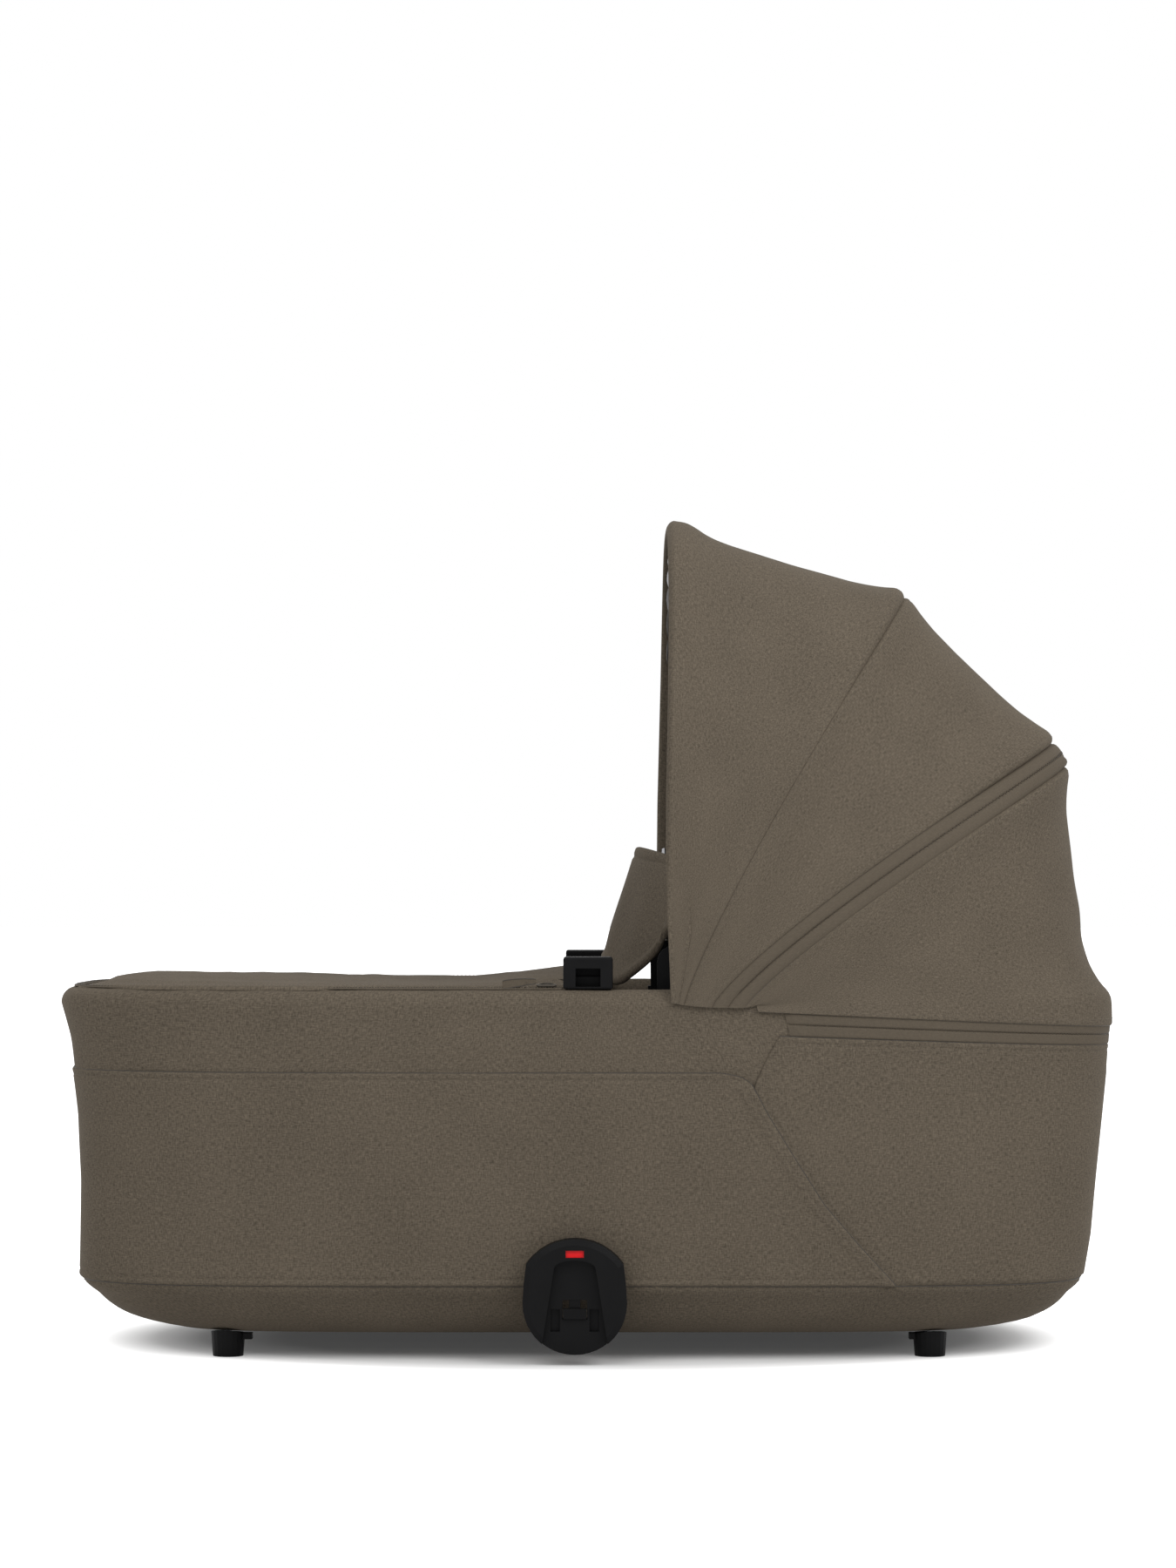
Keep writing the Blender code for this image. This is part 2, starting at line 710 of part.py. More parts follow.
def head_pocket():
    """The panel round the head end, between the zip band and the bottom seam, cut along the lower panel."""
    start = turn_at_x(POCKET_TOP_START_X - FABRIC, SEAM_TOP_Z)
    top = band_line(BAND_LOW_NEAR_Z - GAP, BAND_LOW_HEAD_Z - GAP)
    pocket = wall_patch("head_pocket", start, 2 * math.pi - start, lambda turn: SEAM_BOTTOM_Z, top,
                        WALL_GAP, PANEL, TAUPE)
    corner, low = slant_outline(-FOOT_REACH, GAP)[5:7]
    curved = []
    for share in (1.0, 0.66, 0.33):
        x = mix(PANEL_CORNER_X, POCKET_TOP_START_X, share ** POCKET_EDGE_POWER)
        curved.append((x, mix(SEAM_TOP_Z - PANEL_CORNER_DROP, BAND_LOW_NEAR_Z, share)))
    around = [(-FOOT_REACH, low[1]), (-FOOT_REACH, HOUSING_TOP_Z), (curved[0][0], HOUSING_TOP_Z)]
    cut = curved + [corner, low] + around
    edge = plate_xz("pocket_edge", [cut], RIM_HALF_WIDTH * 3)
    combine(pocket, curve_to_mesh(edge), "DIFFERENCE")
    return pocket


def head_zip():
    """The zip band between the pocket panel and the canopy's hem."""
    turn = turn_at_x(BAND_START_X, RIM_AXIS_Z)
    return wall_patch("head_zip", turn, 2 * math.pi - turn, band_line(BAND_LOW_NEAR_Z, BAND_LOW_HEAD_Z),
                      band_line(BAND_TOP_NEAR_Z - GAP, BAND_TOP_HEAD_Z - GAP), WALL_GAP, BAND, DARK_TAUPE)


def feet():
    """Four tapered feet cut to the body's underside, and the screw that holds each from the tray."""
    body = loft("body_envelope", wall_rings(RIM_AXIS_Z, -GAP, -GAP))
    as_cutter(body)
    for x, end in zip(FOOT_X, ("foot_end", "head_end")):
        for side_name, side in SIDES.items():
            y = side * FOOT_Y
            foot = cone_z(f"foot_{side_name}_{end}", x, y, 0, FOOT_TOP_Z, FOOT_LOW_RADIUS, FOOT_TOP_RADIUS)
            lug_x = x - math.copysign(FOOT_TOP_RADIUS, x)
            lug = box("lug", (lug_x - FOOT_LUG / 2, y - FOOT_LUG, BODY_BOTTOM - FOOT_LUG),
                      (lug_x + FOOT_LUG, y + FOOT_LUG, BODY_BOTTOM))
            place(foot, BLACK_PLASTIC, 0.45)
            combine(foot, lug, "UNION")
            cut = foot.modifiers.new("underside", "BOOLEAN")
            cut.operation = "DIFFERENCE"
            cut.object = body
            head_z = BODY_BOTTOM + tray_lift() + TRAY_WALL + GAP
            y = side * (FOOT_Y - SCREW_OFFSET)
            screw_hole(foot, x, y, head_z)
            screw_hole(bpy.data.objects["floor_tray"], x, y, head_z)
            screw_hole(bpy.data.objects["body_cover"], x, y, head_z)
            screw = cone_z(f"foot_screw_{side_name}_{end}", x, y, SCREW_LOW_Z, head_z + SCREW_HEAD,
                           SCREW_RADIUS, SCREW_RADIUS, 8)
            head = cone_z("screw_head", x, y, head_z, head_z + SCREW_HEAD,
                          SCREW_HEAD_RADIUS, SCREW_HEAD_RADIUS, 12)
            place(screw, STEEL, 0.35, 1.0)
            combine(screw, head, "UNION")


def screw_hole(obj, x, y, head_z):
    radius = SCREW_RADIUS + GAP
    combine(obj, cone_z("screw_hole", x, y, SCREW_LOW_Z - GAP, head_z, radius, radius, 8), "DIFFERENCE")


def disc_outline(shrink):
    """The disc seen from the side: a round lower half, and a flatter arch between two shoulders."""
    half = DISC_WIDTH / 2
    middle_z = DISC_BOTTOM + half
    shoulder_z = DISC_TOP - DISC_SHOULDER_DROP
    arch = (DISC_SHOULDER_HALF ** 2 + DISC_SHOULDER_DROP ** 2) / (2 * DISC_SHOULDER_DROP)
    spread = math.asin(DISC_SHOULDER_HALF / arch)
    lower = [(math.cos(a) * (half - shrink), middle_z + math.sin(a) * (half - shrink))
             for a in (math.pi + math.pi * i / 22 for i in range(23))]
    top_z = DISC_TOP - arch
    upper = [(math.sin(a) * (arch - shrink), top_z + math.cos(a) * (arch - shrink))
             for a in (spread * (1 - i / 6) for i in range(13))]
    side = (mix(half, DISC_SHOULDER_HALF, 1 / 3) - shrink, mix(middle_z, shoulder_z, 1 / 2))
    return lower + [side] + upper + [(-side[0], side[1])]


def mount_disc(name, side):
    """The disc with its boss, the open pocket for the frame's tongue, and the hollows of latch and flag."""
    back, face = disc_back(), disc_face()
    rings = []
    for y, shrink in ((back, 0), (face - DISC_RIM_BEVEL / 2, 0), (face, DISC_RIM_BEVEL)):
        rings.append([Vector((DISC_X + x, side * y, z)) for x, z in disc_outline(shrink)])
    if side < 0:
        rings = [list(reversed(points)) for points in rings]
    rings = [list(reversed(points)) for points in rings]
    disc = place(loft(name, rings), BLACK_PLASTIC, 0.45)
    boss_end = half_width_at(DISC_X, BOSS_Z + BOSS_RADIUS, TRAY_INSET) + GAP
    boss = cylinder_y("boss", DISC_X, BOSS_Z, BOSS_RADIUS, side * boss_end, side * (back + OVERRUN))
    combine(disc, boss, "UNION")
    arch = [(math.cos(math.pi * i / 10) * POCKET_TOP_HALF,
             POCKET_TOP_Z - POCKET_ARCH * (1 - math.sin(math.pi * i / 10))) for i in range(11)]
    outline = [(POCKET_LOW_HALF, DISC_BOTTOM - OVERRUN)] + arch + [(-POCKET_LOW_HALF, DISC_BOTTOM - OVERRUN)]
    floor = face - POCKET_DEPTH
    ends = [[Vector((DISC_X + x, side * y, z)) for x, z in outline] for y in (floor, face + OVERRUN)]
    if side > 0:
        ends = [list(reversed(points)) for points in ends]
    pocket = loft("pocket", ends)
    combine(disc, pocket, "DIFFERENCE")
    latch_half = LATCH_WIDTH / 2 + RUN_CLEARANCE
    latch_low = LATCH_LOW_Z - RUN_CLEARANCE
    latch_top = LATCH_LOW_Z + LATCH_HEIGHT + RELEASE_TRAVEL + RUN_CLEARANCE
    stem_top = STEM_LOW_Z + STEM_HEIGHT + RELEASE_TRAVEL + RUN_CLEARANCE
    strip_y = floor - LATCH_BACK + LATCH_PROUD + STRIP_THICKNESS
    hollow(disc, (-latch_half, latch_half), (latch_low, latch_top),
           (boss_end - OVERRUN, floor + OVERRUN), side)
    hollow(disc, (-latch_half, latch_half), (latch_low, stem_top), (boss_end - OVERRUN, strip_y), side)
    for middle in (-SLOT_OFFSET, SLOT_OFFSET):
        hollow(disc, (middle - SLOT_WIDTH / 2, middle + SLOT_WIDTH / 2), (SLOT_LOW_Z, SLOT_TOP_Z),
               (floor - SLOT_DEPTH, floor + OVERRUN), side)
    flag_half = FLAG_WIDTH / 2
    window_half = FLAG_WINDOW_HEIGHT / 2
    hollow(disc, (-flag_half, flag_half), (FLAG_Z - window_half, FLAG_Z + window_half),
           (face - FLAG_LIP - OVERRUN, face + OVERRUN), side)
    room = FLAG_HEIGHT / 2 + RUN_CLEARANCE
    hollow(disc, (-flag_half - RUN_CLEARANCE, flag_half + FLAG_TRAVEL + RUN_CLEARANCE),
           (FLAG_Z - room, FLAG_Z + room), (back - OVERRUN, face - FLAG_LIP), side)
    return disc


def hollow(disc, x_range, z_range, y_range, side):
    """Cut a box from a disc: x from the disc's middle, z from the floor, y outwards from the middle plane."""
    low = (DISC_X + x_range[0], side * y_range[0], z_range[0])
    high = (DISC_X + x_range[1], side * y_range[1], z_range[1])
    combine(disc, box("hollow", low, high), "DIFFERENCE")


def disc_latch(name, side):
    """The latch's block in the pocket, its strip behind the pocket's floor, and the stem into the wall."""
    floor = disc_face() - POCKET_DEPTH
    back = floor - LATCH_BACK + LATCH_PROUD
    strip_top = STEM_LOW_Z + STEM_HEIGHT
    block = box(name, (DISC_X - LATCH_WIDTH / 2, side * back, LATCH_LOW_Z),
                (DISC_X + LATCH_WIDTH / 2, side * (floor + LATCH_PROUD), LATCH_LOW_Z + LATCH_HEIGHT))
    strip = box("strip", (DISC_X - STRIP_WIDTH / 2, side * back, LATCH_LOW_Z),
                (DISC_X + STRIP_WIDTH / 2, side * (back + STRIP_THICKNESS - RUN_CLEARANCE), strip_top))
    stem = box("stem", (DISC_X - STRIP_WIDTH / 2, side * (ROD_Y + ROD_RADIUS + GAP), STEM_LOW_Z),
               (DISC_X + STRIP_WIDTH / 2, side * (back + STRIP_THICKNESS / 2), strip_top))
    place(block, BLACK_PLASTIC, 0.35)
    combine(block, strip, "UNION")
    combine(block, stem, "UNION")


def lock_indicator(name, side):
    y = disc_face() - FLAG_LIP - GAP
    flag = box(name, (DISC_X - FLAG_WIDTH / 2, side * (y - FLAG_THICKNESS), FLAG_Z - FLAG_HEIGHT / 2),
               (DISC_X + FLAG_WIDTH / 2, side * y, FLAG_Z + FLAG_HEIGHT / 2))
    place(flag, SIGNAL_RED, 0.4)


def housing_floor():
    return RIM_TOP + GAP


def window_low():
    return housing_floor() + WINDOW_FLOOR


def release_housing(name, side):
    """The box on the rim with its window, and a skirt inside the rim that guides the rod."""
    shell = box(name, (-HOUSING_WIDTH / 2, side * HOUSING_INNER_Y, housing_floor()),
                (HOUSING_WIDTH / 2, side * HOUSING_OUTER_Y, HOUSING_TOP_Z))
    place(shell, BLACK_PLASTIC, 0.4)
    bevel = shell.modifiers.new("edges", "BEVEL")
    bevel.width = HOUSING_BEVEL
    bevel.segments = 2
    skirt_y = half_width_at(HOUSING_WIDTH, RIM_AXIS_Z, 2 * RIM_ROLL) - 2 * GAP
    skirt_half = HOUSING_WIDTH / 2 - HOUSING_BEVEL
    skirt = box("skirt", (-skirt_half, side * HOUSING_INNER_Y, RIM_AXIS_Z - SKIRT_DROP),
                (skirt_half, side * skirt_y, housing_floor() + HOUSING_BEVEL + GAP))
    combine(shell, skirt, "UNION")
    chamber_low = window_low() - RUN_CLEARANCE
    chamber_high = window_low() + SLIDER_HEIGHT + RELEASE_TRAVEL + 2 * RUN_CLEARANCE
    channel = STRIP_WIDTH / 2
    hollows = (
        ("window", (-WINDOW_WIDTH / 2, side * CHAMBER_Y, window_low()),
         (WINDOW_WIDTH / 2, side * (HOUSING_OUTER_Y + OVERRUN), window_low() + WINDOW_HEIGHT)),
        ("chamber", (DISC_X - channel, side * CHAMBER_Y, chamber_low),
         (-DISC_X + channel, side * (skirt_y - RUN_CLEARANCE), chamber_high)),
        ("channel", (DISC_X - channel, side * CHAMBER_Y, RIM_AXIS_Z - SKIRT_DROP - OVERRUN),
         (DISC_X + channel, side * (skirt_y - RUN_CLEARANCE), chamber_high)),
    )
    for label, low, high in hollows:
        combine(shell, box(label, low, high), "DIFFERENCE")


def release_slider(name, side):
    reach = -DISC_X + STRIP_WIDTH / 2 - RUN_CLEARANCE
    outer = half_width_at(HOUSING_WIDTH, RIM_AXIS_Z, 2 * RIM_ROLL) - 2 * GAP - 2 * RUN_CLEARANCE
    slider = box(name, (-reach, side * (CHAMBER_Y + RUN_CLEARANCE), window_low()),
                 (reach, side * outer, window_low() + SLIDER_HEIGHT))
    place(slider, BLACK_PLASTIC, 0.5)


def release_rod(name, side):
    rod = cone_z(name, DISC_X, side * ROD_Y, STEM_LOW_Z, window_low() - GAP, ROD_RADIUS, ROD_RADIUS, 8)
    place(rod, STEEL, 0.35, 1.0)


def hub_outer_y():
    """The hub plates stand just inside the lining."""
    low_z = PIVOT_Z - HUB_RADIUS - lining_lift()
    return half_width_at(PIVOT_X + HUB_RADIUS, low_z, LINING_INSET + FABRIC) - 2 * GAP


def hub_layers():
    """How far from the middle plane each arm's centre lies, from the front bow's to the rear bow's."""
    first = hub_outer_y() - HUB_PLATE - GAP - ARM_PITCH + ARM_THICKNESS
    return [first - i * ARM_PITCH for i in range(3)]


def canopy_hub(name, side):
    """The hub plate inside the rim, with the lug that meets the rim's skirt."""
    inner_y = hub_outer_y() - HUB_PLATE
    plate = cylinder_y(name, PIVOT_X, PIVOT_Z, HUB_RADIUS, side * inner_y, side * hub_outer_y())
    place(plate, BLACK_PLASTIC, 0.45)
    lug_low = PIVOT_Z + HUB_LUG_RISE
    lug_y = half_width_at(PIVOT_X + HUB_LUG_WIDTH / 2, RIM_AXIS_Z, 2 * RIM_ROLL) - 2 * GAP
    lug = box("lug", (PIVOT_X - HUB_LUG_WIDTH / 2, side * inner_y, lug_low),
              (PIVOT_X + HUB_LUG_WIDTH / 2, side * lug_y, lug_low + HUB_LUG_HEIGHT))
    combine(plate, lug, "UNION")
    hole = cylinder_y("pin_hole", PIVOT_X, PIVOT_Z, PIN_RADIUS + GAP,
                      side * (inner_y - OVERRUN), side * (hub_outer_y() + OVERRUN))
    combine(plate, hole, "DIFFERENCE")


def hub_pin(name, side):
    """The pin through the hub and the three arms, with its head inside."""
    head_y = hub_layers()[-1] - ARM_THICKNESS / 2 - GAP
    end_y = head_y - PIN_HEAD
    shank_y = (end_y + head_y) / 2
    pin = cylinder_y(name, PIVOT_X, PIVOT_Z, PIN_RADIUS, side * shank_y, side * hub_outer_y(), 16)
    head = cylinder_y("pin_head", PIVOT_X, PIVOT_Z, PIN_HEAD_RADIUS, side * end_y, side * head_y, 16)
    place(pin, STEEL, 0.35, 1.0)
    combine(pin, head, "UNION")


def rib_angle(rib):
    """The angle from +X at which a rib's top lies, seen from the pivot."""
    top_x, top_z = rib[1]
    return math.atan2(top_z - PIVOT_Z, top_x - PIVOT_X)


def bow_arm(name, rib, layer_y):
    """A bow's end: an eye on the pin and a wider round end that holds the bow."""
    lean = math.asin((ARM_END_RADIUS - ARM_EYE_RADIUS) / ARM_REACH)
    outline = []
    for i in range(9):
        a = -lean + (math.pi + 2 * lean) * i / 8
        outline.append((math.cos(a) * ARM_END_RADIUS, ARM_REACH + math.sin(a) * ARM_END_RADIUS))
    for i in range(9):
        a = math.pi + lean + (math.pi - 2 * lean) * i / 8
        outline.append((math.cos(a) * ARM_EYE_RADIUS, math.sin(a) * ARM_EYE_RADIUS))
    eye = PIN_RADIUS + GAP
    hole = [(math.cos(2 * math.pi * i / 12) * eye, math.sin(2 * math.pi * i / 12) * eye) for i in range(12)]
    arm = place(plate_xz(name, [outline, hole], ARM_THICKNESS), BLACK_PLASTIC, 0.4)
    arm.location = (PIVOT_X, layer_y, PIVOT_Z)
    arm.rotation_euler = (math.pi / 2, math.pi / 2 - rib_angle(rib), 0)


def arch_share(turn):
    """Height and width shares of the canopy's arch at a turn from 0, the near foot, to pi, the far foot."""
    rise = math.sin(turn) ** (2 / ARCH_POWER)
    across = math.copysign(abs(math.cos(turn)) ** (2 / ARCH_POWER), math.cos(turn))
    return rise, across


def rib_point(rib, turn, depth=0.0):
    """A point of a sewn rib; depth moves it in, under the cloth."""
    (base_x, base_z), (top_x, top_z), bend = rib
    rise, across = arch_share(turn)
    reach = math.hypot(top_x - PIVOT_X, top_z - PIVOT_Z)
    inner_x = top_x - (top_x - PIVOT_X) * depth / reach
    inner_z = top_z - (top_z - PIVOT_Z) * depth / reach
    x = mix(base_x, inner_x, rise ** bend)
    z = mix(base_z, inner_z, rise)
    return Vector((x, -across * (CANOPY_HALF_WIDTH - depth), z))


def bow(name, rib, layer_y):
    """A bow under a rib: it rises from the arms' ends, flares out to the cloth and arches over."""
    axis = Vector((math.cos(rib_angle(rib)), 0, math.sin(rib_angle(rib))))
    pivot = Vector((PIVOT_X, 0, PIVOT_Z))
    start = ARM_REACH + ARM_END_RADIUS + GAP
    straight = start + BOW_STRAIGHT
    top = (Vector((rib[1][0], 0, rib[1][1])) - pivot).length - BOW_DEPTH
    steps = 12
    half = [pivot + axis * start - Vector((0, layer_y, 0))]
    for i in range(steps + 1):
        turn = mix(math.asin((straight / top) ** (ARCH_POWER / 2)), math.pi / 2, i / steps)
        rise = arch_share(turn)[0] * top
        flare = smooth_step((rise - straight) / BOW_FLARE_LENGTH)
        inner = pivot + axis * rise - Vector((0, layer_y, 0))
        half.append(inner.lerp(rib_point(rib, turn, BOW_DEPTH), flare))
    half[-1].y = 0
    points = half + [Vector((p.x, -p.y, p.z)) for p in reversed(half[:-1])]
    place(tube(name, points, BOW_RADIUS), STEEL, 0.35, 1.0)


def hem_turns():
    start = turn_at_x(REAR_HEM_START_X, RIM_AXIS_Z)
    return turns_between(start, 2 * math.pi - start)


def arch_turns():
    """Turns along the canopy's arch, one for each column of its cloth."""
    samples = 200
    turns = [math.pi * i / samples for i in range(samples + 1)]
    points = [rib_point(FIRST_RIB, turn) for turn in turns]
    measures = [0.0]
    for a, b in zip(points, points[1:]):
        measures.append(measures[-1] + (b - a).length)
    return evenly(turns, measures, len(hem_turns()))


def between(first, second, share):
    """A point between two seams, each of which keeps a small gap."""
    span = second - first
    return first + span.normalized() * (GAP + share * (span.length - 2 * GAP))


def canopy_panel(name, ribs, sag_share, rows):
    """Cloth between sewn ribs, drawn in a little between each two."""
    grids = []
    for depth in (0.0, FABRIC):
        grid = []
        for first, second in zip(ribs, ribs[1:]):
            for i in range(0 if first is ribs[0] else 1, rows + 1):
                share = i / rows
                pull = sag_share * 4 * share * (1 - share)
                row = []
                for turn in arch_turns():
                    point = between(rib_point(first, turn, depth), rib_point(second, turn, depth), share)
                    point.x = mix(point.x, PIVOT_X, pull * math.sin(turn))
                    point.z = mix(point.z, PIVOT_Z, pull * math.sin(turn))
                    row.append(point)
                grid.append(row)
        grids.append(grid)
    place(slab(name, *grids), TAUPE)


def canopy_rear_panel():
    """Cloth from the last rib down to its hem, which laps over the rim of the head end."""
    lap_angles = [math.radians(a) for a in (62, 30, 0)]
    hem_line = band_line(BAND_TOP_NEAR_Z + GAP, BAND_TOP_HEAD_Z + GAP)
    rows = 6
    grids = []
    for depth in (0.0, FABRIC):
        roll = RIM_ROLL + HEM_GAP + FABRIC - depth
        laps = []
        for angle in lap_angles:
            row = []
            for t, arch in zip(hem_turns(), arch_turns()):
                a = angle * mix(LAP_END_SHARE, 1, smooth_step(3 * arch_share(arch)[0]))
                row.append(skin(t, RIM_AXIS_Z + roll * math.sin(a), RIM_ROLL - roll * math.cos(a)))
            laps.append(row)
        hem = []
        for t in hem_turns():
            point = skin(t, RIM_AXIS_Z, RIM_ROLL - roll)
            hem.append(Vector((point.x, point.y, hem_line(t))))
        grid = []
        for i in range(rows):
            share = i / rows
            pull = REAR_SAG_SHARE * 4 * share * (1 - share)
            row = []
            for turn, low in zip(arch_turns(), laps[0]):
                point = between(rib_point(THIRD_RIB, turn, depth), low, share)
                point.x = mix(point.x, PIVOT_X, pull * math.sin(turn))
                row.append(point)
            grid.append(row)
        grids.append(grid + laps + [hem])
    place(slab("canopy_rear_panel", *grids), TAUPE)


def apron_half_width(x):
    wide = half_width_at(x, RIM_AXIS_Z, APRON_INSET)
    narrow = smooth_step((x - APRON_NARROW_START_X) / (APRON_NARROW_END_X - APRON_NARROW_START_X))
    return mix(wide, APRON_NARROW_HALF, narrow)


def apron_top(x, across):
    """The height of the apron's top; across is 0 in the middle and 1 at a side."""
    foot = smooth_step((x + FOOT_REACH - APRON_INSET) / APRON_RISE_LENGTH)
    end = smooth_step((x - APRON_END_X) / APRON_RISE_LENGTH + 1)
    crown = APRON_CROWN * mix(APRON_FOOT_SHARE, 1, foot) + APRON_END_RISE * end
    return RIM_TOP + APRON_LIFT + APRON_EDGE + crown * (1 - across ** 4)


def apron():
    """The padded cover over the foot half, from the foot end to the wind flap."""
    row_shares = (0.0, 0.006, 0.02, 0.05, 0.10, 0.18, 0.30, 0.48, 0.66, 0.80, 0.83, 0.86, 0.885, 0.91, 1.0)
    columns = 13
    low_x = -FOOT_REACH + APRON_INSET + GAP
    outer, inner = [], []
    for share in row_shares:
        x = mix(low_x, APRON_END_X, share)
        half = apron_half_width(mix(low_x, APRON_END_X, max(share, APRON_END_SHARE)))
        outer_row, inner_row = [], []
        for j in range(columns):
            across = math.sin((2 * j / (columns - 1) - 1) * math.pi / 2)
            y = across * half
            outer_row.append(Vector((x, y, apron_top(x, abs(across)))))
            inner_row.append(Vector((x, y, RIM_TOP + APRON_LIFT)))
        outer.append(outer_row)
        inner.append(inner_row)
    place(slab("apron", outer, inner), TAUPE)


def apron_zip():
    """The zip tape on the rim round the apron."""
    start = turn_at_x(ZIP_END_X, RIM_AXIS_Z)
    turns = turns_between(-start, start)
    grids = []
    for z in (RIM_TOP + GAP + ZIP_THICKNESS, RIM_TOP + GAP):
        grids.append([[skin(t, RIM_AXIS_Z, inset) + Vector((0, 0, z - RIM_AXIS_Z)) for t in turns]
                      for inset in (ZIP_INSET, ZIP_INSET + ZIP_WIDTH)])
    place(slab("apron_zip", *grids), DARK_TAUPE)


def slider_y():
    return -(half_width_at(SLIDER_X, RIM_AXIS_Z) - ZIP_INSET - ZIP_WIDTH / 2)


def slider_low():
    return RIM_TOP + 2 * GAP + ZIP_THICKNESS


def apron_zip_slider():
    y = slider_y()
    body = box("apron_zip_slider", (SLIDER_X - SLIDER_LENGTH / 2, y - SLIDER_WIDTH / 2, slider_low()),
               (SLIDER_X + SLIDER_LENGTH / 2, y + SLIDER_WIDTH / 2, slider_low() + SLIDER_THICKNESS))
    place(body, DARK_TAUPE, 0.4)
    bevel = body.modifiers.new("edges", "BEVEL")
    bevel.width = SLIDER_THICKNESS / 4
    bevel.segments = 2


def apron_zip_pull():
    """The folded cloth pull that stands against the apron's side."""
    y = slider_y() - SLIDER_WIDTH / 4
    high_x = SLIDER_X - SLIDER_LENGTH / 2 - GAP
    pull = box("apron_zip_pull", (high_x - PULL_LENGTH, y - PULL_THICKNESS / 2, slider_low()),
               (high_x, y + PULL_THICKNESS / 2, slider_low() + PULL_HEIGHT))
    place(pull, DARK_TAUPE)


def flap_point(across, up, depth):
    """A point of the wind flap: across from -1 to 1, up from 0 to 1, depth through its padding."""
    wide = abs(across)
    bow_share = wide ** FLAP_CURVE_POWER
    free = smooth_step((wide - FLAP_FREE_SHARE) / (1 - FLAP_FREE_SHARE))
    base_z = apron_top(APRON_END_X, 0) + FLAP_BASE_RISE
    low = Vector((mix(FLAP_BASE_X, FLAP_SIDE_LOW_X, bow_share), 0, mix(base_z, FLAP_SIDE_LOW_Z, free)))
    high_x = mix(FLAP_TOP_X, FLAP_SIDE_TOP_X, bow_share)
    high = Vector((high_x, 0, mix(FLAP_TOP_Z, FLAP_SIDE_TOP_Z, bow_share)))
    point = low.lerp(high, up)
    slope = (high - low).normalized()
    back = Vector((slope.z, 0, -slope.x))
    point += back * depth
    point.y = across * FLAP_HALF_WIDTH
    return point


def wind_flap():
    rows, columns = 7, 15
    padding_shares = [0.5, 0.9, 1.0, 1.0, 1.0, 0.9, 0.5]
    outer, inner = [], []
    for i in range(rows):
        half = FLAP_THICKNESS / 2 * padding_shares[i]
        cells = [2 * j / (columns - 1) - 1 for j in range(columns)]
        outer.append([flap_point(c, i / (rows - 1), -half) for c in cells])
        inner.append([flap_point(c, i / (rows - 1), half) for c in cells])
    flap = place(slab("wind_flap", outer, inner), TAUPE)
    hinge = flap_point(0, 0, -FLAP_THICKNESS / 2 * padding_shares[0])
    flap.data.transform(Matrix.Translation(-hinge))
    flap.location = hinge


def flap_magnet(name, side):
    """A flat magnet behind an upper corner of the flap."""
    across = FLAP_FREE_SHARE
    up = 1 - MAGNET_DROP / (FLAP_TOP_Z - RIM_TOP)
    depth = FLAP_THICKNESS / 2 + MAGNET_THICKNESS / 2 + GAP
    centre = flap_point(side * across, up, depth)
    below = flap_point(side * across, up / 2, depth)
    beside = flap_point(side * across * 0.96, up, depth)
    normal = (centre - below).cross(centre - beside).normalized()
    disc = cone_z(name, 0, 0, -MAGNET_THICKNESS / 2, MAGNET_THICKNESS / 2, MAGNET_RADIUS, MAGNET_RADIUS)
    disc.matrix_world = Matrix.Translation(centre) @ normal.to_track_quat("Z", "Y").to_matrix().to_4x4()
    place(disc, STEEL, 0.4, 1.0)


def build_body():
    body_cover()
    floor_tray()
    lining()
    mattress()
    rim_frame()
    lower_panel()
    head_pocket()
    head_zip()
    end_stay("end_stay_foot", 0.0)
    end_stay("end_stay_head", math.pi)
    feet()
    for side_name, side in SIDES.items():
        side_upright(f"side_upright_{side_name}", side)
        mount_disc(f"mount_disc_{side_name}", side)
        disc_latch(f"disc_latch_{side_name}", side)
        lock_indicator(f"lock_indicator_{side_name}", side)
        release_housing(f"release_housing_{side_name}", side)
        release_slider(f"release_slider_{side_name}", side)
        release_rod(f"release_rod_{side_name}", side)


def build_canopy():
    layers = hub_layers()
    for side_name, side in SIDES.items():
        canopy_hub(f"canopy_hub_{side_name}", side)
        hub_pin(f"hub_pin_{side_name}", side)
    for label, rib, layer in zip(("front", "middle", "rear"), (FRONT_RIB, FIRST_RIB, ZIP_RIB), layers):
        bow(f"canopy_bow_{label}", rib, layer)
        for side_name, side in SIDES.items():
            bow_arm(f"bow_arm_{label}_{side_name}", rib, side * layer)
    canopy_panel("canopy_front_panel", [FRONT_RIB, FIRST_RIB], FRONT_SAG_SHARE, 4)
    canopy_panel("canopy_middle_panel", [FIRST_RIB, SECOND_RIB], MIDDLE_SAG_SHARE, 4)
    canopy_panel("canopy_zip_panel", [SECOND_RIB, ZIP_RIB, THIRD_RIB], 0.0, 1)
    canopy_rear_panel()


def build_apron():
    apron()
    apron_zip()
    apron_zip_slider()
    apron_zip_pull()
    wind_flap()
    for side_name, side in SIDES.items():
        flap_magnet(f"flap_magnet_{side_name}", side)


build_body()
build_canopy()
build_apron()
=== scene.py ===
import math

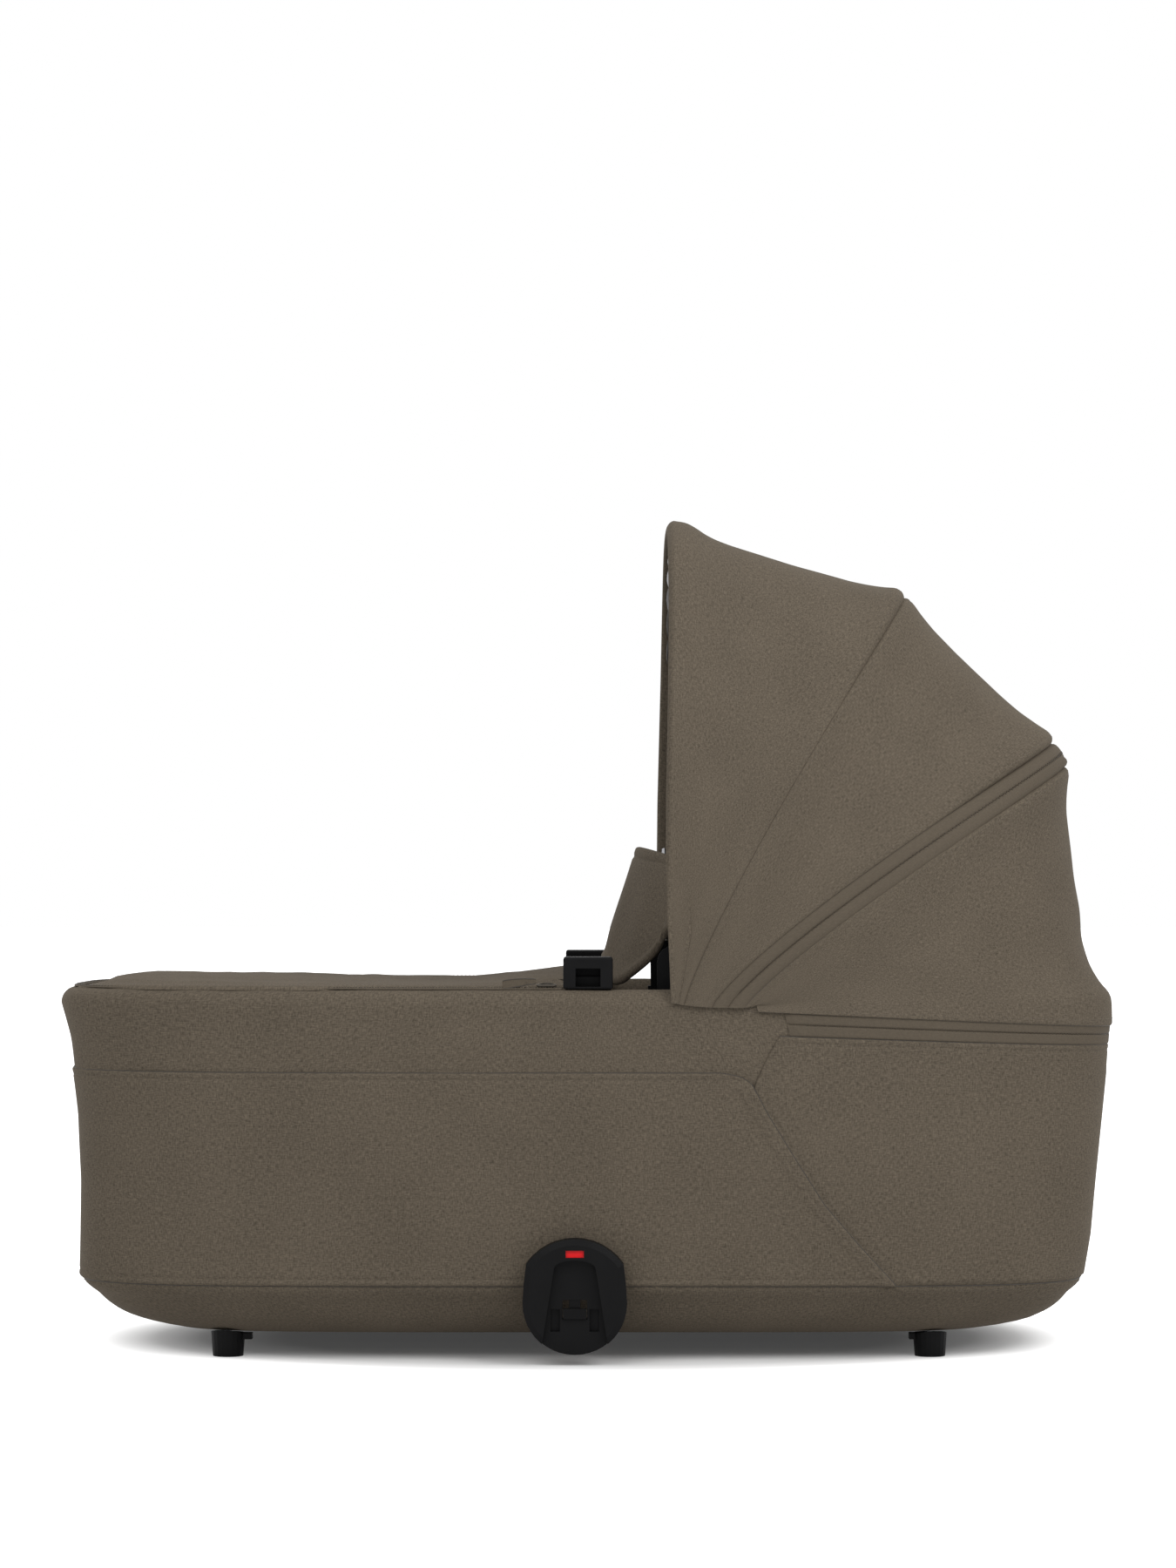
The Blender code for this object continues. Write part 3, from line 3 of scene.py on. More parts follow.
import bpy
import numpy as np
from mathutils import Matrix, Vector


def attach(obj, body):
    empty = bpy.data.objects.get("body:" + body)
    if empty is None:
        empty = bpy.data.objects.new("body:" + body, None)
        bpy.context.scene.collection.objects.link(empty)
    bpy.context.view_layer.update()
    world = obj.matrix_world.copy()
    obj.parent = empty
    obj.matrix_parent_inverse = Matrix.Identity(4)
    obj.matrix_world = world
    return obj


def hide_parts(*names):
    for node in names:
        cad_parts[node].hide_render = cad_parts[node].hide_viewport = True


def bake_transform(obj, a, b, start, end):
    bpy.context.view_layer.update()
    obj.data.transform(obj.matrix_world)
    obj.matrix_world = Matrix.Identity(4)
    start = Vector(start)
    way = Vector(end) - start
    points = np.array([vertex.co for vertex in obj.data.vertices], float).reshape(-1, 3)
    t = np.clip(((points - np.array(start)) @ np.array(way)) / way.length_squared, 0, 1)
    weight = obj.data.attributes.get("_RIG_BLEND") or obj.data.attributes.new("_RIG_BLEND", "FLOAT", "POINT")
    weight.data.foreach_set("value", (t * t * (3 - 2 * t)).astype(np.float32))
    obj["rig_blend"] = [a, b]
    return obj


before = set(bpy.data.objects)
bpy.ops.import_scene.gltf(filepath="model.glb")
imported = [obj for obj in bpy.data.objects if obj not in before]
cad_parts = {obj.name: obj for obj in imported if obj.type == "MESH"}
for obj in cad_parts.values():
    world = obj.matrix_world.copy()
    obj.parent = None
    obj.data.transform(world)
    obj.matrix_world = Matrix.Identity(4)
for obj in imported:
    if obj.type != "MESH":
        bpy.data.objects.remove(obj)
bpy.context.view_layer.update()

# Sizes shared with the part, in metres
FOOT_REACH = 0.418
HEAD_REACH = 0.415
RIM_HALF_WIDTH = 0.215
RIM_TOP = 0.2845
BODY_BOTTOM = 0.018
FLOOR_POWER = 5.5
RIM_POWER = 3.7
RIM_ROLL = 0.0125
RIM_AXIS_Z = RIM_TOP - RIM_ROLL
WALL_HEIGHT = RIM_AXIS_Z - BODY_BOTTOM
# The body's wall by share of its height: shares of the foot reach, of the head reach and of the half width
WALL_PROFILE = np.array([
    (0.000, 0.780, 0.766, 0.740),
    (0.016, 0.832, 0.831, 0.785),
    (0.043, 0.878, 0.870, 0.828),
    (0.084, 0.912, 0.902, 0.868),
    (0.157, 0.954, 0.935, 0.938),
    (0.289, 0.952, 0.951, 0.948),
    (0.453, 0.952, 0.962, 0.958),
    (0.657, 0.959, 0.976, 0.974),
    (0.894, 0.982, 0.992, 0.994),
    (1.000, 1.000, 1.000, 1.000),
])
LINING_INSET = 0.0315
LINING_TOP_Z = 0.2575
LINING_RAISE = 0.0054
SEAM_BOTTOM_Z = 0.0592
SEAM_TOP_Z = 0.2214
CANOPY_HALF_WIDTH = 0.2185
ARCH_POWER = 2.7
# Ribs of the canopy: place along the cot and height of the foot and of the crest, and how the rib bends
FRONT_RIB = ((0.0640, 0.2742), (0.0683, 0.6564), 1.0)
FIRST_RIB = ((0.0726, 0.2729), (0.2540, 0.5959), 1.18)
SECOND_RIB = ((0.0937, 0.2712), (0.3723, 0.4790), 1.22)
ZIP_RIB = ((0.1060, 0.2710), (0.3800, 0.4713), 1.20)
THIRD_RIB = ((0.1188, 0.2709), (0.3828, 0.4600), 1.18)

# Level lines round the head end, as heights where the zip band starts and at the head
BAND_START_X = 0.1475
POCKET_TOP = (0.2492, 0.2394)
BAND_LOW = (0.2494, 0.2396)
BAND_HIGH = (0.2672, 0.2556)
REAR_HEM_LINE = (0.2668, 0.2538)

# Edges of the lower panel and of the head pocket, seen from the side, as height and place along the cot
SLANT = np.array([
    (0.0560, 0.2374), (0.0599, 0.2337), (0.0876, 0.2081), (0.1203, 0.1799), (0.1591, 0.1552),
    (0.1909, 0.1358), (0.2090, 0.1262), (0.2120, 0.1246), (0.2150, 0.1215), (0.2182, 0.1160),
    (0.2200, 0.1090), (0.2214, 0.0990),
])
POCKET_EDGE = np.array([
    (0.0560, 0.2330), (0.0599, 0.2300), (0.0876, 0.2040), (0.1203, 0.1762), (0.1591, 0.1515),
    (0.1909, 0.1321), (0.2080, 0.1255), (0.2147, 0.1278), (0.2332, 0.1358), (0.2491, 0.1446),
    (0.2560, 0.1475),
])

# Cloth and thread
BACK_STAND = 0.0001
# Sizes of the dark cords of painted shade along seams
SEAM_SHADOW_RADIUS = 0.0005
CANOPY_SEAM_SHADOW_RADIUS = 0.0006
CANOPY_SEAM_SHADOW_DEPTH = 0.0004
FINE_STITCH = {"pitch": 0.0028, "length": 0.0020, "width": 0.0004}
FLECK_LENGTH = 0.0034
NOISE_WAVES = 14
NOISE_RANGE = 5.3
# How far along a table's shares a bend is eased
EASE = 0.012


def smooth(value):
    held = np.clip(value, 0.0, 1.0)
    return held * held * (3 - 2 * held)


def mix(start, end, share):
    return start + (end - start) * share


def bump(distance, middle, width):
    """One where the distance is the middle, fading to nothing beyond the width."""
    return np.exp(-((distance - middle) / width) ** 2)


def rounded(distance, radius):
    """Rise of a rounded edge, from 0 at the edge to 1 at its radius."""
    return np.sqrt(1 - (1 - np.clip(distance / radius, 0, 1)) ** 2)


def noise(points, size, seed):
    """Smooth even noise from -1 to 1, from sums of waves; the same on each run."""
    source = np.random.default_rng(seed)
    total = np.zeros(points.shape[:-1])
    for _ in range(NOISE_WAVES):
        direction = source.normal(size=3)
        direction *= source.uniform(0.6, 1.5) / np.linalg.norm(direction) / size
        total += np.sin(points @ direction * 2 * math.pi + source.uniform(0, 2 * math.pi))
    return total / NOISE_RANGE


def unit(vectors):
    return vectors / np.maximum(np.linalg.norm(vectors, axis=-1, keepdims=True), 1e-12)


def length_along(points):
    """The running length along a row of points, from zero."""
    return np.concatenate([[0.0], np.cumsum(np.linalg.norm(np.diff(points, axis=0), axis=1))])


def at_places(places, run, table):
    """Each column of a table, read at places along its run."""
    return np.stack([np.interp(places, run, table[:, k]) for k in range(table.shape[1])], axis=-1)


def table_at(table, share):
    """A table's value at shares, with its bends eased."""
    total = 0
    for step, weight in ((-EASE, 0.25), (0.0, 0.5), (EASE, 0.25)):
        place = np.clip(share + step * np.minimum(1, np.minimum(share, 1 - share) / EASE), 0, 1)
        total = total + weight * np.interp(place, table[:, 0], table[:, 1])
    return total


def evenly(curve, start, end, count):
    """Turns from start to end that lie at even steps along a curve."""
    fine = np.linspace(start, end, 4000)
    run = length_along(curve(fine))
    return np.interp(np.linspace(0, run[-1], count), run, fine)


# Materials

class Nodes:
    """The nodes of one material or world, with short ways to add to them."""

    def __init__(self, owner):
        owner.use_nodes = True
        self.tree = owner.node_tree

    def fill(self, node, inputs):
        """Give each named input its value, or link it to a socket."""
        for name, value in inputs.items():
            if isinstance(value, bpy.types.NodeSocket):
                self.tree.links.new(value, node.inputs[name])
            else:
                node.inputs[name].default_value = value

    def add(self, kind, inputs, operation=None):
        node = self.tree.nodes.new("ShaderNode" + kind)
        if operation:
            node.operation = operation
        self.fill(node, inputs)
        return node.outputs

    def calc(self, operation, first, second=0.5):
        return self.add("Math", {0: first, 1: second}, operation)[0]

    def coordinates(self, name):
        return self.add("TexCoord", {})[name]

    def noise(self, place, scale, detail=2.0, roughness=0.5, stretch=(1, 1, 1)):
        place = self.add("Mapping", {"Scale": stretch, "Vector": place})[0]
        inputs = {"Scale": scale, "Detail": detail, "Roughness": roughness, "Vector": place}
        return self.add("TexNoise", inputs)["Fac"]

    def ramp(self, factor, stops):
        ramp = self.tree.nodes.new("ShaderNodeValToRGB")
        self.fill(ramp, {"Fac": factor})
        while len(ramp.color_ramp.elements) < len(stops):
            ramp.color_ramp.elements.new(0.5)
        for element, (place, colour) in zip(ramp.color_ramp.elements, stops):
            element.position = place
            element.color = (*colour, 1.0)
        return ramp.outputs["Color"]

    def between(self, factor, low, high):
        return self.add("MapRange", {"To Min": low, "To Max": high, "Value": factor})[0]

    def relief(self, height, strength, depth):
        return self.add("Bump", {"Strength": strength, "Distance": depth, "Height": height})["Normal"]

    def seen(self):
        """One for rays from the camera, in a reflection or through glass, else zero."""
        path = self.add("LightPath", {})
        direct = self.calc("MAXIMUM", path["Is Camera Ray"], path["Is Glossy Ray"])
        return self.calc("MAXIMUM", direct, path["Is Transmission Ray"])

    def shade(self, inputs):
        self.fill(self.tree.nodes["Principled BSDF"], inputs)


def new_material(name):
    made = bpy.data.materials.new(name)
    return made, Nodes(made)


def tone(colour, factor):
    return tuple(min(channel * factor, 1.0) for channel in colour)


def tones(colour, low, high, spread):
    """A ramp between two tones of a colour, at places this far either side of the middle."""
    return [(0.5 - spread, tone(colour, low)), (0.5 + spread, tone(colour, high))]


def cloth_material(name, colour, pitch=0.00085, contrast=0.28, depth=0.00026, sheen=0.08):
    """Plain weave: crossing threads from the cloth's own coordinates, with lighter and darker flecks."""
    made, nodes = new_material(name)
    flat = nodes.coordinates("UV")
    uneven = nodes.add("TexNoise", {"Scale": 190.0, "Detail": 2.0, "Vector": flat})["Color"]
    place = nodes.add("VectorMath", {1: (0.0012, 0.0012, 0.0), 0: uneven, 2: flat}, "MULTIPLY_ADD")[0]
    parts = nodes.add("SeparateXYZ", {0: place})
    across, along = [nodes.calc("SINE", nodes.calc("MULTIPLY", parts[axis], math.pi / pitch))
                     for axis in "XY"]
    over = nodes.calc("MULTIPLY", across, along)
    threads = [nodes.calc("POWER", nodes.calc("MAXIMUM", nodes.calc("MULTIPLY", over, side), 0.0), 0.5)
               for side in (1.0, -1.0)]
    height = nodes.calc("ADD", *threads)
    # Flecks of yarn are longer along their thread than across it
    stretches = ((1000, 1 / FLECK_LENGTH, 1), (1 / FLECK_LENGTH, 1000, 1))
    yarns = [nodes.noise(place, 1.0, 1.0, 0.5, stretch) for stretch in stretches]
    flecks = nodes.calc("ADD", *[nodes.calc("MULTIPLY", yarn, 0.5) for yarn in yarns])
    broad = nodes.noise(place, 14.0, 3.0)
    value = nodes.calc("ADD", nodes.calc("MULTIPLY", flecks, 0.84), nodes.calc("MULTIPLY", broad, 0.12))
    # Thread crowns come out a little lighter than the gaps between threads: painted shade in the weave
    value = nodes.calc("ADD", value, nodes.calc("MULTIPLY", height, 0.02))
    swing = 1.9 * contrast
    stops = [(0.28, tone(colour, 1 - swing)), (0.50, colour), (0.72, tone(colour, 1 + swing))]
    relief = nodes.calc("ADD", nodes.calc("MULTIPLY", height, 0.16), flecks)
    nodes.shade({
        "Base Color": nodes.ramp(value, stops), "Roughness": nodes.between(flecks, 0.80, 0.96),
        "Specular IOR Level": 0.12, "Sheen Weight": sheen, "Sheen Roughness": 0.45,
        "Sheen Tint": (*tone(colour, 3.0), 1.0), "Normal": nodes.relief(relief, 0.55, depth),
    })
    return made


def plastic_material(name, colour, roughness=0.42, depth=0.00006, shine=0.10):
    """Moulded plastic with a fine grain and slightly shinier worn patches."""
    made, nodes = new_material(name)
    place = nodes.coordinates("Object")
    pores = nodes.noise(place, 1 / 0.00035 / 4, 3.0, 0.6)
    patches = nodes.noise(place, 55.0)
    nodes.shade({
        "Base Color": nodes.ramp(patches, tones(colour, 0.86, 1.16, 0.2)), "Specular IOR Level": shine,
        "Roughness": nodes.between(patches, roughness - 0.07, roughness + 0.09),
        "Normal": nodes.relief(pores, 0.35, depth),
    })
    return made


def metal_material(name, colour, roughness=0.34):
    """Drawn steel: fine lines along the bar and a little uneven shine."""
    made, nodes = new_material(name)
    lines = nodes.noise(nodes.coordinates("Object"), 900.0, stretch=(1, 1, 0.05))
    nodes.shade({
        "Base Color": nodes.ramp(lines, tones(colour, 0.9, 1.1, 0.2)), "Metallic": 1.0,
        "Roughness": nodes.between(lines, roughness - 0.06, roughness + 0.08),
    })
    return made


def thread_material(name, colour):
    """Twisted sewing thread."""
    made, nodes = new_material(name)
    twist = nodes.noise(nodes.coordinates("Object"), 1400.0, 1.0)
    nodes.shade({"Base Color": nodes.ramp(twist, tones(colour, 0.8, 1.2, 0.15)), "Roughness": 0.7})
    return made


TAUPE = (0.1060, 0.0868, 0.0645)
CLOTH = cloth_material("taupe_cloth", TAUPE)
CLOTH_INSIDE = cloth_material("taupe_cloth_inside", tone(TAUPE, 0.86), contrast=0.12, sheen=0.05)
TAPE = cloth_material("zip_tape", tone(TAUPE, 0.92), pitch=0.0006, contrast=0.08, depth=0.00012, sheen=0.05)
LINING = cloth_material("lining_jersey", (0.265, 0.250, 0.222), pitch=0.0007, contrast=0.06, depth=0.00015)
MATTRESS = cloth_material("mattress_cover", (0.560, 0.545, 0.505), pitch=0.0012, contrast=0.04, depth=0.00035)
THREAD = thread_material("thread_taupe", tone(TAUPE, 0.80))
PALE_THREAD = thread_material("thread_pale", (0.47, 0.455, 0.42))
TEETH = plastic_material("zip_teeth", tone(TAUPE, 0.62), 0.38)
# A dark tone of the cloth for cords laid along seams, hems and the pull tab's edges: painted shade
SEAM_SHADOW = thread_material("seam_shadow", tone(TAUPE, 0.34))
BLACK = plastic_material("black_plastic", (0.0048, 0.0048, 0.0051), 0.46, shine=0.07)
# Darker than the other black plastic so the release slider in the housing's window reads as a dark opening:
# partly painted shade; the disc latch shares it
BLACK_SMOOTH = plastic_material("black_plastic_smooth", (0.0034, 0.0034, 0.0036), 0.36, 0.00003, 0.07)
RED = plastic_material("signal_red", (0.700, 0.006, 0.010), 0.34, depth=0.00003, shine=0.2)
STEEL = metal_material("drawn_steel", (0.30, 0.30, 0.31))
ZINC = metal_material("dark_zinc", (0.052, 0.046, 0.038), 0.45)


# Pieces of cloth and what is sewn on them

def frames_along(path, normals, places, step, weights):
    """At places along a path: the point, forward, side and up directions, and the bending weight."""
    run = length_along(path)
    middles = at_places(places, run, path)
    forwards = unit(at_places(places + step, run, path) - middles)
    ups = unit(at_places(places, run, normals))
    spots = np.zeros(len(places)) if weights is None else np.interp(places, run, weights)
    return zip(middles, forwards, np.cross(ups, forwards), ups, spots)


class Piece:
    """One object's points and faces, with their places on the cloth, slots and bending weights."""

    def __init__(self, name):
        self.name = name
        self.points, self.faces, self.places, self.slots, self.weights = [], [], [], [], []

    def add(self, points, faces, places, slot, weights=None):
        base = len(self.points)
        self.points.extend(tuple(point) for point in points)
        self.faces.extend(tuple(base + corner for corner in face) for face in faces)
        self.places.extend(places)
        self.slots.extend([slot] * len(faces))
        self.weights.extend([0.0] * len(points) if weights is None else weights)

    def grid(self, points, places, slot=0, weights=None, closed=False, turned=False):
        """A surface through rows of points; a closed one joins its last column to its first."""
        rows, columns = points.shape[:2]
        faces, corners = [], []
        for i in range(rows - 1):
            for j in range(columns if closed else columns - 1):
                k = (j + 1) % columns
                face = [(i, j, j), (i, k, j + 1), (i + 1, k, j + 1), (i + 1, j, j)]
                if turned:
                    face.reverse()
                faces.append([row * columns + column for row, column, _ in face])
                corners.append([tuple(places[row, spot]) for row, _, spot in face])
        flat = None if weights is None else list(weights.reshape(-1))
        self.add(points.reshape(-1, 3), faces, corners, slot, flat)

    def sheet(self, outer, inner, places, slots=(0, 0), weights=None, turned=False):
        """Two surfaces a cloth's thickness apart, closed along all four edges."""
        self.grid(outer, places, slots[0], weights, turned=turned)
        self.grid(inner, places, slots[1], weights, turned=not turned)
        cuts = (np.s_[0], np.s_[-1], np.s_[:, 0], np.s_[:, -1])
        for cut, back in zip(cuts, (True, False, False, True)):
            strip = np.stack([outer[cut], inner[cut]])
            spots = np.stack([places[cut], places[cut]])
            strip_weights = None if weights is None else np.stack([weights[cut], weights[cut]])
            self.grid(strip, spots, slots[0], strip_weights, turned=back != turned)

    def stitches(self, path, normals, pitch=0.0034, length=0.0025, width=0.00050, slot=1, weights=None):
        """A row of thread dashes lying on the cloth."""
        places = np.arange(pitch / 2, length_along(path)[-1] - pitch / 2, pitch)
        faces = [(0, 3, 2), (0, 4, 3), (0, 5, 4), (0, 2, 5), (1, 2, 3), (1, 3, 4), (1, 4, 5), (1, 5, 2)]
        for middle, forward, side, up, weight in frames_along(path, normals, places, pitch / 4, weights):
            ahead, sunk, aside = forward * length / 2, up * width * 0.3, side * width / 2
            points = [middle - ahead - sunk, middle + ahead - sunk, middle + aside,
                      middle + up * width * 0.62, middle - aside, middle - up * width / 2]
            self.add(points, faces, [[(0.0, 0.0)] * 3] * 8, slot, [weight] * 6)

    def stitch_rows(self, surface, normals, rows, ends=2, weights=None, **look):
        """Stitches along rows of a surface, stopping short of its sides."""
        for row in rows:
            held = None if weights is None else weights[row, ends:-ends]
            self.stitches(surface[row, ends:-ends], normals[row, ends:-ends], weights=held, **look)

    def blocks(self, path, normals, pitch, sizes, slot, side_step, lift=0.0):
        """Bevelled blocks in a row, stepped to each side in turn, such as the teeth of a zip."""
        places = np.arange(pitch / 2, length_along(path)[-1], pitch)
        corners = np.array([(x, y, z) for z in (-1, 1) for y in (-1, 1) for x in (-1, 1)], float)
        shrink = np.where(corners[:, 2:3] > 0, 0.62, 1.0)
        local = corners * np.concatenate([shrink, shrink, np.ones_like(shrink)], axis=1) * np.array(sizes) / 2
        faces = [(0, 2, 3, 1), (4, 5, 7, 6), (0, 1, 5, 4), (2, 6, 7, 3), (0, 4, 6, 2), (1, 3, 7, 5)]
        frames = frames_along(path, normals, places, pitch / 3, None)
        for count, (middle, forward, side, up, weight) in enumerate(frames):
            centre = middle + side * side_step * (1 if count % 2 else -1) + up * lift
            points = centre + local[:, :1] * forward + local[:, 1:2] * side + local[:, 2:3] * up
            self.add(points, faces, [[(0.0, 0.0)] * 4] * 6, slot, [weight] * 8)

    def rope(self, path, radius, slot=0, weights=None, sides=8, closed=False):
        """A round cord along points, for piping and rolled edges, and for dark cords of painted shade along
        seams.
        """
        if closed:
            forward = np.roll(path, -1, axis=0) - np.roll(path, 1, axis=0)
        else:
            forward = np.concatenate([path[1:], path[-1:]]) - np.concatenate([path[:1], path[:-1]])
        forward = unit(forward)
        guide = np.zeros_like(forward) + np.array([0.0, 0.0, 1.0])
        guide[np.abs(forward[:, 2]) > 0.95] = (0.0, 1.0, 0.0)
        side = unit(np.cross(guide, forward))
        up = np.cross(forward, side)
        turns = np.linspace(0, 2 * math.pi, sides, endpoint=False)
        tube = path[:, None] + radius * (np.cos(turns)[None, :, None] * side[:, None] +
                                         np.sin(turns)[None, :, None] * up[:, None])
        places = np.zeros((len(path), sides + 1, 2))
        places[..., 0] = length_along(path)[:, None]
        places[..., 1] = np.linspace(0, 2 * math.pi * radius, sides + 1)[None, :]
        spread = None if weights is None else np.repeat(weights[:, None], sides, axis=1)
        self.grid(tube, places, slot, spread, closed=True)

    def build(self, materials, body, replaces=()):
        mesh = bpy.data.meshes.new(self.name)
        mesh.from_pydata(self.points, [], self.faces)
        layer = mesh.uv_layers.new(name="cloth")
        layer.data.foreach_set("uv", [value for face in self.places for place in face for value in place])
        mesh.polygons.foreach_set("material_index", self.slots)
        for made in materials:
            mesh.materials.append(made)
        mesh.update()
        mesh.shade_smooth()
        mesh.set_sharp_from_angle(angle=math.radians(62))
        obj = bpy.data.objects.new(self.name, mesh)
        bpy.context.scene.collection.objects.link(obj)
        if replaces:
            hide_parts(*replaces)
        if isinstance(body, str):
            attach(obj, body)
        else:
            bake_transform(obj, body[0], body[1], (0, 0, 0), (0, 0, 1))
            weights = np.clip(self.weights, 0, 1).astype(np.float32)
            mesh.attributes["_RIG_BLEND"].data.foreach_set("value", weights)
        return obj


def grid_normals(points, closed=False):
    """Normals of a grid from its neighbours, to its rows' left when looked at along its columns."""
    if closed:
        along = np.roll(points, -1, axis=1) - np.roll(points, 1, axis=1)
    else:
        along = np.gradient(points, axis=1)
    return unit(np.cross(along, np.gradient(points, axis=0)))


def run_places(points, closed=False):
    """Cloth coordinates of a grid, in metres along its rows and columns."""
    source = np.concatenate([points, points[:, :1]], axis=1) if closed else points
    places = np.zeros(source.shape[:2] + (2,))
    places[..., 0] = length_along(source[source.shape[0] // 2])[None, :]
    places[..., 1] = length_along(source[:, source.shape[1] // 2])[:, None]
    return places


def row_places(points):
    """Cloth coordinates where each row is measured on its own, from its middle."""
    places = run_places(points)
    run = np.stack([length_along(row) for row in points])
    places[..., 0] = run - run[:, points.shape[1] // 2][:, None] + 1.0
    return places


# The body's wall

def profile(z):
    """Shares of the foot reach, head reach and width at heights, and the power of the plan's corners."""
    share = np.clip((np.asarray(z, float) - BODY_BOTTOM) / WALL_HEIGHT, 0, 1)
    shares = [table_at(WALL_PROFILE[:, (0, k)], share) for k in (1, 2, 3)]
    return shares, FLOOR_POWER + (RIM_POWER - FLOOR_POWER) * share


def wall(turns, z, inset=0.0):
    """Points on the body's wall: turn 0 is the foot end, a quarter turn is the near side."""
    turns, z = np.broadcast_arrays(np.asarray(turns, float), np.asarray(z, float))
    (foot, head, half), power = profile(z)
    along, across = np.cos(turns), np.sin(turns)
    reach = np.where(along > 0, foot * FOOT_REACH, head * HEAD_REACH) - inset
    x = -np.sign(along) * np.abs(along) ** (2 / power) * reach
    y = -np.sign(across) * np.abs(across) ** (2 / power) * (half * RIM_HALF_WIDTH - inset)
    return np.stack([x, y, z], axis=-1)


TURN_TABLE = np.linspace(1e-4, math.pi - 1e-4, 3000)


def turn_at(x, z, inset=0.0):
    """The near side's turn at which the wall passes x at one height."""
    return np.interp(x, wall(TURN_TABLE, z, inset)[:, 0], TURN_TABLE)


def half_width(x, z):
    return -wall(turn_at(x, z), z)[..., 1]


def even_turns(count, start=0.0, end=2 * math.pi):
    """Turns evenly spaced along the rim between two turns."""
    return evenly(lambda turns: wall(turns, RIM_AXIS_Z), start, end, count)


def inward(turns, z):
    """Level directions into the cot, square to its wall."""
    return unit(wall(turns, z, 0.001) - wall(turns, z))


def facing(line):
    """Directions out of the wall along a level line on it."""
    return grid_normals(np.stack([line, line + (0, 0, 0.001)]))[0]


def band_line(heights, x):
    """Height of a line round the head end, from where the zip band starts to the head."""
    return mix(heights[0], heights[1], (x - BAND_START_X) / (HEAD_REACH - BAND_START_X))


# The body

STITCH_INSET = 0.0050
EDGE_STEPS = np.array([0.0, 0.0002, 0.0007, 0.0015, 0.0024, 0.0034, 0.0042, STITCH_INSET,
                       0.0058, 0.0070, 0.0090, 0.0125])
EDGE_STITCH = list(EDGE_STEPS).index(STITCH_INSET)
# Columns near a slanted edge are further apart along the wall than square to the edge
SLANT_STRETCH = 1.25
# A distance at which an edge has no effect
FAR_FROM_EDGE = 1.0


def edge_lift(distance, full):
    """How far a folded and topstitched edge stands off: it rounds up and dips at the stitching."""
    groove = 0.00055 * bump(distance, STITCH_INSET, 0.0011)
    swell = 0.0004 * smooth((distance - 0.009) / 0.03)
    return 0.0003 + (full - 0.0003) * rounded(distance, 0.0016) - groove + swell


def body_cover():
    """The outer cloth with its rolled rim, its bottom strip and the hem inside."""
    turns = even_turns(261)[:-1]
    heights = np.concatenate([np.linspace(BODY_BOTTOM, SEAM_BOTTOM_Z - 0.004, 16),
                              SEAM_BOTTOM_Z + np.array([-0.0025, -0.0014, -0.0006, 0.0, 0.0008]),
                              np.linspace(SEAM_BOTTOM_Z + 0.004, RIM_AXIS_Z, 42)])
    base = np.stack([wall(turns, z) for z in heights])
    z = heights[:, None]
    bulge = 0.0009 * smooth((SEAM_BOTTOM_Z - z) / 0.003) * smooth((z - 0.024) / 0.016)
    strip = np.where(z < SEAM_BOTTOM_Z, bulge, 0) - 0.0018 * smooth((0.054 - z) / 0.010)
    soft = 0.0008 * noise(base * np.array([1, 1, 0.6]), 0.11, 3) * smooth((z - 0.03) / 0.03)
    soft = soft * smooth((RIM_AXIS_Z - z) / 0.03)
    base = base + grid_normals(base, closed=True) * (strip + soft)[..., None]
    floor = [base[0] * np.array([share, share, 1.0]) for share in (0.02, 0.3, 0.6, 0.85, 0.96)]
    over = []
    for angle in np.linspace(0, math.pi, 17)[1:]:
        point = wall(turns, RIM_AXIS_Z, RIM_ROLL * (1 - math.cos(angle)))
        over.append(point + (0, 0, RIM_ROLL * math.sin(angle)))
    # The hem inside runs down from the roll and ends in a fold against it
    inside = []
    for drop, stand in ((0.004, 0.0004), (0.009, 0.0004), (0.014, 0.0004), (0.0145, -0.0012)):
        inside.append(wall(turns, RIM_AXIS_Z, 2 * RIM_ROLL + stand) - (0, 0, drop))
    surface = np.concatenate([np.stack(floor), base, np.stack(over), np.stack(inside)])
    ripple = 0.0003 * noise(surface, 0.035, 8)
    ripple[:len(floor) + 4] = 0
    surface = surface + grid_normals(surface, closed=True) * ripple[..., None]
    piece = Piece("cover_cloth")
    piece.grid(surface, run_places(surface, closed=True), closed=True)
    line = wall(even_turns(700), SEAM_BOTTOM_Z - 0.0042, -0.0010)
    piece.stitches(line, facing(line), pitch=0.0036)
    # A dark cord in the bottom seam, just under the cloth: painted shade
    seam = wall(even_turns(700)[:-1], SEAM_BOTTOM_Z - 0.0004, -0.0003)
    piece.rope(seam, SEAM_SHADOW_RADIUS, slot=2, closed=True)
    piece.build([CLOTH, THREAD, SEAM_SHADOW], "cot", ["body_cover"])


def folded_rows(low, high):
    """Heights of a patch, closer together at its folded edges, and each one's distance to the nearer edge."""
    span = high - low
    middle = np.linspace(EDGE_STEPS[-1], span - EDGE_STEPS[-1], 34)[1:-1]
    distance = np.concatenate([EDGE_STEPS, middle, span - EDGE_STEPS[::-1]])
    return low + distance, np.minimum(distance, span - distance)


# How far the lower panel's ends are lifted by the head pocket beneath them
OVERLAP = 0.0017


